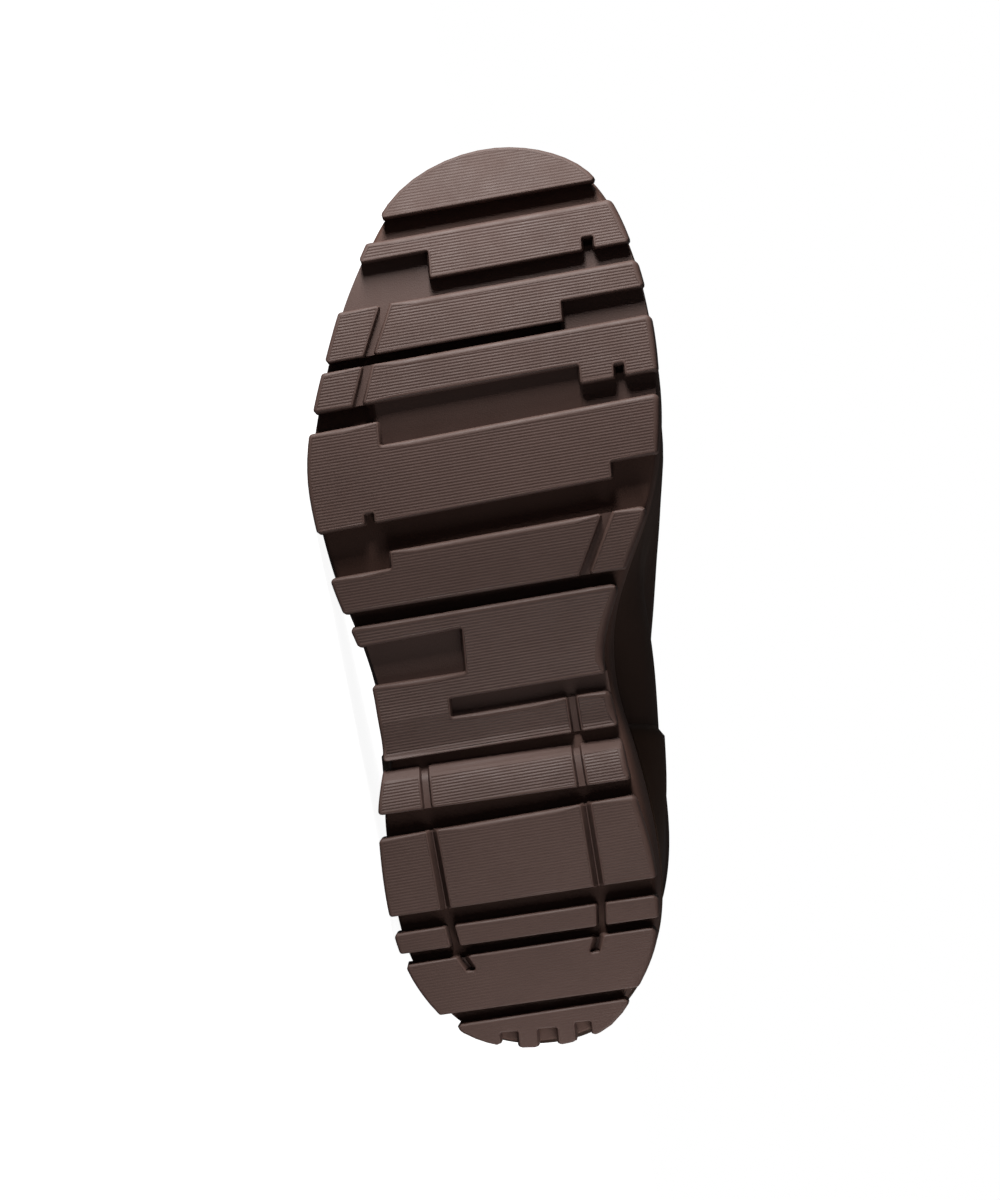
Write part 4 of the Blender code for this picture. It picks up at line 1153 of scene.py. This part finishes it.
def lining_piece(mats):
    """Thin textile lining inside the upper, closed at both edges."""
    count, rows = 120, 90
    phi = turn_steps(count)
    s = section_steps(rows)
    keep = (s > 0.55) & (s < 14.82)
    s = np.concatenate([[0.55], s[keep], [14.82]])
    face, back = skin(phi, s, -WALL - 0.62), skin(phi, s, -WALL + 0.05)
    floor = HEIGHT["top"](np.clip(face[..., 0], 0, SOLE_LENGTH)) + GAP + 1.0
    for part in (face, back):
        part[..., 2] = np.maximum(part[..., 2], floor)
    rows = len(s)
    grid = [back[k] for k in range(rows)]
    grid.append((back[-1] + face[-1]) / 2 + np.array([0, 0, 0.3]))
    grid += [face[k] for k in range(rows - 1, -1, -1)]
    verts = np.concatenate(grid)
    faces = tube_faces(len(grid), count) + stitch_rows((len(grid) - 1) * count, 0, count)
    obj = new_piece("lining", place(verts), faces, mats, sharp=70)
    ring = np.linalg.norm(np.diff(np.vstack([face[rows // 2], face[rows // 2][:1]]), axis=0), axis=1)
    round_mm = np.concatenate([[0], np.cumsum(ring)])[:-1]
    rise = np.linalg.norm(np.diff(face, axis=0), axis=2).mean(1)
    rise_mm = np.concatenate([[0], np.cumsum(rise)])
    up = np.concatenate([rise_mm, rise_mm[-1:], rise_mm[::-1]])
    for label, values in (("wale", np.tile(round_mm, len(grid))),
                          ("course", np.repeat(up, count))):
        attr = obj.data.attributes.new(label, "FLOAT", "POINT")
        attr.data.foreach_set("value", values.astype(np.float32))
    return obj


def footbed_piece(mats):
    """Footbed with a rounded rim and a low raised edge."""
    n = 110
    q = np.linspace(0, 1, n + 1)
    rows = {"med": upper_offset(math.pi * (1 - q), np.zeros(n + 1), -WALL - INSOLE_CLEAR),
            "lat": upper_offset(math.pi * (1 + q), np.zeros(n + 1), -WALL - INSOLE_CLEAR)}
    order = ring_index(n)
    m = len(order)
    rim = np.array([rows[s][i] for s, i in order])
    xs, ys = rim[:, 0], rim[:, 1]
    nxt, prv = np.roll(rim, -1, 0), np.roll(rim, 1, 0)
    tang = nxt - prv
    inward = np.stack([tang[:, 1], -tang[:, 0]], 1)
    inward /= np.linalg.norm(inward, axis=1)[:, None]
    centre = np.stack([xs.mean() - xs, ys.mean() - ys], 1)
    if (inward * centre).sum() < 0:
        inward = -inward
    profile = ((0.0, 0.0), (0.0, 2.6), (0.25, 3.4), (0.8, 3.85), (1.6, 4.0), (3.2, 3.95), (6.0, 3.6))
    verts, faces = [], []
    for inset, lift in profile:
        for k in range(m):
            x, y = xs[k] + inward[k, 0] * inset, ys[k] + inward[k, 1] * inset
            verts.append((x, y, float(HEIGHT["top"](np.clip(xs[k], 0, SOLE_LENGTH))) + GAP + lift))
    for k in range(len(profile) - 1):
        for i in range(m):
            j = (i + 1) % m
            faces.append((k * m + j, k * m + i, (k + 1) * m + i, (k + 1) * m + j))
    faces += strip_cap(0, n, m, False) + strip_cap((len(profile) - 1) * m, n, m, True)
    return new_piece("footbed", place(verts), faces, mats, sharp=55)


# ------------------------------------------------------------------ materials
def tree_of(name):
    mat = bpy.data.materials.new(name)
    mat.use_nodes = True
    nodes, links = mat.node_tree.nodes, mat.node_tree.links
    shader = nodes["Principled BSDF"]
    where = nodes.new("ShaderNodeTexCoord")
    return mat, nodes, links, shader, where


def noise(nodes, links, where, scale, detail=3.0, rough=0.5):
    n = nodes.new("ShaderNodeTexNoise")
    n.inputs["Scale"].default_value = scale
    n.inputs["Detail"].default_value = detail
    n.inputs["Roughness"].default_value = rough
    links.new(where, n.inputs["Vector"])
    return n


def spread(nodes, links, value, low, high, lo_in=0.3, hi_in=0.7):
    r = nodes.new("ShaderNodeMapRange")
    r.inputs["From Min"].default_value = lo_in
    r.inputs["From Max"].default_value = hi_in
    r.inputs["To Min"].default_value = low
    r.inputs["To Max"].default_value = high
    links.new(value, r.inputs["Value"])
    return r.outputs["Result"]


def blend_colour(nodes, links, value, low, high):
    ramp = nodes.new("ShaderNodeValToRGB")
    ramp.color_ramp.elements[0].color = (*low, 1)
    ramp.color_ramp.elements[1].color = (*high, 1)
    ramp.color_ramp.elements[0].position = 0.32
    ramp.color_ramp.elements[1].position = 0.68
    links.new(value, ramp.inputs["Fac"])
    return ramp.outputs["Color"]


def bump(nodes, links, height, distance, strength=1.0, under=None):
    b = nodes.new("ShaderNodeBump")
    b.inputs["Distance"].default_value = distance
    b.inputs["Strength"].default_value = strength
    links.new(height, b.inputs["Height"])
    if under is not None:
        links.new(under, b.inputs["Normal"])
    return b.outputs["Normal"]


def rubber(name, low, high, rough_low, rough_high, grain, grain_scale, specular, coat=0.0,
           coat_rough=0.3, waviness=0.0):
    mat, nodes, links, shader, coords = tree_of(name)
    where = coords.outputs["Object"]
    cloud = noise(nodes, links, where, 38.0, 4.0, 0.55)
    links.new(blend_colour(nodes, links, cloud.outputs["Fac"], low, high),
              shader.inputs["Base Color"])
    smear = noise(nodes, links, where, 120.0, 3.0, 0.6)
    links.new(spread(nodes, links, smear.outputs["Fac"], rough_low, rough_high),
              shader.inputs["Roughness"])
    fine = noise(nodes, links, where, grain_scale, 2.0, 0.5)
    normal = bump(nodes, links, fine.outputs["Fac"], grain)
    if waviness:
        swell = noise(nodes, links, where, 55.0, 1.0, 0.4)
        normal = bump(nodes, links, swell.outputs["Fac"], waviness, under=normal)
    links.new(normal, shader.inputs["Normal"])
    shader.inputs["Specular IOR Level"].default_value = specular
    shader.inputs["Coat Weight"].default_value = coat
    shader.inputs["Coat Roughness"].default_value = coat_rough
    return mat


def knit(name, low, high):
    """Fine jersey lining: wales and courses charted from the piece's own sizes."""
    mat, nodes, links, shader, coords = tree_of(name)
    where = coords.outputs["Object"]
    cloud = noise(nodes, links, where, 900.0, 3.0, 0.6)
    links.new(blend_colour(nodes, links, cloud.outputs["Fac"], low, high),
              shader.inputs["Base Color"])
    rows = []
    for label, pitch in (("wale", 1.3), ("course", 1.0)):
        attr = nodes.new("ShaderNodeAttribute")
        attr.attribute_name = label
        turn = nodes.new("ShaderNodeMath")
        turn.operation = "MULTIPLY"
        turn.inputs[1].default_value = 2 * math.pi / pitch
        links.new(attr.outputs["Fac"], turn.inputs[0])
        wave = nodes.new("ShaderNodeMath")
        wave.operation = "SINE"
        links.new(turn.outputs["Value"], wave.inputs[0])
        rows.append(wave.outputs["Value"])
    both = nodes.new("ShaderNodeMath")
    both.operation = "MULTIPLY"
    links.new(rows[0], both.inputs[0])
    links.new(rows[1], both.inputs[1])
    normal = bump(nodes, links, both.outputs["Value"], 0.00012)
    links.new(normal, shader.inputs["Normal"])
    links.new(spread(nodes, links, cloud.outputs["Fac"], 0.85, 0.98), shader.inputs["Roughness"])
    shader.inputs["Specular IOR Level"].default_value = 0.2
    shader.inputs["Sheen Weight"].default_value = 0.25
    return mat


def felt(name, low, high):
    mat, nodes, links, shader, coords = tree_of(name)
    where = coords.outputs["Object"]
    fleck = noise(nodes, links, where, 700.0, 4.0, 0.7)
    links.new(blend_colour(nodes, links, fleck.outputs["Fac"], low, high),
              shader.inputs["Base Color"])
    links.new(spread(nodes, links, fleck.outputs["Fac"], 0.88, 1.0), shader.inputs["Roughness"])
    pile = noise(nodes, links, where, 2200.0, 3.0, 0.6)
    links.new(bump(nodes, links, pile.outputs["Fac"], 0.0002), shader.inputs["Normal"])
    shader.inputs["Specular IOR Level"].default_value = 0.2
    shader.inputs["Sheen Weight"].default_value = 0.2
    return mat


# ------------------------------------------------------------- build the boot
tread_rubber = rubber("tread_rubber", (0.072, 0.0412, 0.0338), (0.082, 0.0474, 0.0392),
                      0.52, 0.64, 0.00006, 2600.0, 0.30)
platform_rubber = rubber("platform_rubber", (0.074, 0.0405, 0.0318), (0.084, 0.0465, 0.0368),
                         0.52, 0.64, 0.00006, 2600.0, 0.15)
upper_rubber = rubber("upper_rubber", (0.050, 0.0295, 0.0225), (0.059, 0.0350, 0.0270),
                      0.48, 0.58, 0.00004, 2200.0, 0.15, waviness=0.0006)
counter_rubber = rubber("counter_rubber", (0.050, 0.0280, 0.0190), (0.059, 0.0335, 0.0232),
                        0.50, 0.60, 0.00005, 2400.0, 0.11)
lining_knit = knit("lining_knit", (0.060, 0.046, 0.038), (0.085, 0.066, 0.055))
footbed_felt = felt("footbed_felt", (0.055, 0.043, 0.037), (0.085, 0.068, 0.058))

pieces = [
    (platform_piece([platform_rubber]), "outsole", "sole_rubber"),
    (lugs_piece([tread_rubber]), None, "sole_rubber"),
    (upper_piece([upper_rubber]), "upper", "upper_rubber"),
    (counter_piece([counter_rubber]), "heel_counter", "counter_rubber"),
    (lining_piece([lining_knit]), None, "footbed_foam"),
    (footbed_piece([footbed_felt]), "insole", "footbed_foam"),
]
for piece, node, slot_name in pieces:
    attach(piece, "root")
    if node:
        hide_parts(node)

# ------------------------------------------------------------------ the studio
FLOOR_HALF = 6.0
FLOOR_GLOW_NEAR = 0.93
FLOOR_GLOW_FAR = 1.0
WORLD_GLOW = 0.045
floor_mat, f_nodes, f_links, f_shader, f_coords = tree_of("studio_floor")
f_cloud = noise(f_nodes, f_links, f_coords.outputs["Object"], 3.0, 2.0)
f_links.new(blend_colour(f_nodes, f_links, f_cloud.outputs["Fac"], (0.88, 0.88, 0.88),
                         (0.90, 0.90, 0.90)), f_shader.inputs["Base Color"])
f_shader.inputs["Roughness"].default_value = 0.9
f_shader.inputs["Specular IOR Level"].default_value = 0.1
f_shader.inputs["Emission Color"].default_value = (1, 1, 1, 1)
# the lit patch round the boot gives way to an even white further out
f_far = f_nodes.new("ShaderNodeVectorMath")
f_far.operation = "LENGTH"
f_links.new(f_coords.outputs["Object"], f_far.inputs[0])
f_links.new(spread(f_nodes, f_links, f_far.outputs["Value"], FLOOR_GLOW_NEAR, FLOOR_GLOW_FAR,
                   0.25, 0.9), f_shader.inputs["Emission Strength"])
floor = new_piece("studio_floor_plane",
                  [(-FLOOR_HALF, -FLOOR_HALF, -0.0002), (FLOOR_HALF, -FLOOR_HALF, -0.0002),
                   (FLOOR_HALF, FLOOR_HALF, -0.0002), (-FLOOR_HALF, FLOOR_HALF, -0.0002)],
                  [(0, 1, 2, 3)], [floor_mat], smooth=False)
floor.visible_diffuse = False
floor.visible_glossy = False

world = bpy.data.worlds.new("studio")
bpy.context.scene.world = world
world.use_nodes = True
w_nodes, w_links = world.node_tree.nodes, world.node_tree.links
back = w_nodes["Background"]
back.inputs["Color"].default_value = (1, 1, 1, 1)
path = w_nodes.new("ShaderNodeLightPath")
shade = w_nodes.new("ShaderNodeMapRange")
shade.inputs["To Min"].default_value = WORLD_GLOW
shade.inputs["To Max"].default_value = 1.0
w_links.new(path.outputs["Is Camera Ray"], shade.inputs["Value"])
w_links.new(shade.outputs["Result"], back.inputs["Strength"])


def softbox(name, spot, aim, size, power, colour=(1, 1, 1)):
    lamp = bpy.data.lights.new(name, "AREA")
    lamp.shape = "RECTANGLE"
    lamp.size, lamp.size_y = size
    lamp.energy = power
    lamp.color = colour
    obj = bpy.data.objects.new(name, lamp)
    obj.location = spot
    obj.rotation_euler = (Vector(aim) - Vector(spot)).to_track_quat("-Z", "Y").to_euler()
    obj.visible_camera = False
    obj.visible_glossy = not name.startswith("back_")
    bpy.context.scene.collection.objects.link(obj)
    return obj


# names, place, aim, size in metres, power in watts
Softbox = namedtuple("Softbox", "name spot aim size power colour")
SOFTBOXES = (
    Softbox("key_toe", (-0.591, -0.328, 0.090), (-0.08, -0.13, 0.055), (0.395, 0.14), 7.45, (1.0, 0.985, 0.97)),
    Softbox("table_heel", (0.205, -0.29, 0.062), (-0.79, -0.29, 0.062), (0.32, 0.12), 0.39, (1.0, 0.99, 0.98)),
    Softbox("side_toe", (-1.20, 0.50, 0.55), (0.0, 0.05, 0.05), (0.7, 0.7), 2.5, (1.0, 1.0, 1.0)),
    Softbox("side_heel", (1.20, 0.50, 0.55), (0.0, 0.05, 0.05), (0.7, 0.7), 1.5, (1.0, 1.0, 1.0)),
    Softbox("back_toe", (-0.80, 1.30, 0.20), (0.0, 0.05, 0.05), (0.8, 0.4), 5.0, (1.0, 1.0, 1.0)),
    Softbox("back_heel", (0.80, 1.30, 0.20), (0.0, 0.05, 0.05), (0.8, 0.4), 5.0, (1.0, 1.0, 1.0)),
)
for s in SOFTBOXES:
    softbox(s.name, s.spot, s.aim, s.size, s.power, s.colour)

# ------------------------------------------------------------------ the camera
CAMERA_AT = (131.0, 58.0, -1500.0)      # in the boot's frame, mm
CAMERA_AIM = (136.0, -1.0, 20.0)
LEAN = math.radians(5.0)                # the boot's axis leans in the picture
SEEN_TALL = 363.0                       # mm of picture height at the tread
SENSOR = 36.0

eye, aim = (Vector(place([p])[0]) for p in (CAMERA_AT, CAMERA_AIM))
up_boot = np.array([math.cos(LEAN), math.sin(LEAN), 0.0])
up = Vector(TURN @ up_boot)
look = (aim - eye).normalized()
right = look.cross(up).normalized()
up = right.cross(look)
turn = Matrix((right, up, -look)).transposed()
cam = bpy.data.cameras.new("photo_view")
cam.sensor_width = SENSOR
cam.lens = SENSOR * abs(CAMERA_AT[2]) / SEEN_TALL
cam.clip_start, cam.clip_end = 0.05, 60.0
cam_obj = bpy.data.objects.new("photo_view", cam)
cam_obj.matrix_world = Matrix.Translation(eye) @ turn.to_4x4()
bpy.context.scene.collection.objects.link(cam_obj)
bpy.context.scene.camera = cam_obj

bpy.context.scene.view_settings.view_transform = "Standard"
bpy.context.scene.view_settings.look = "None"
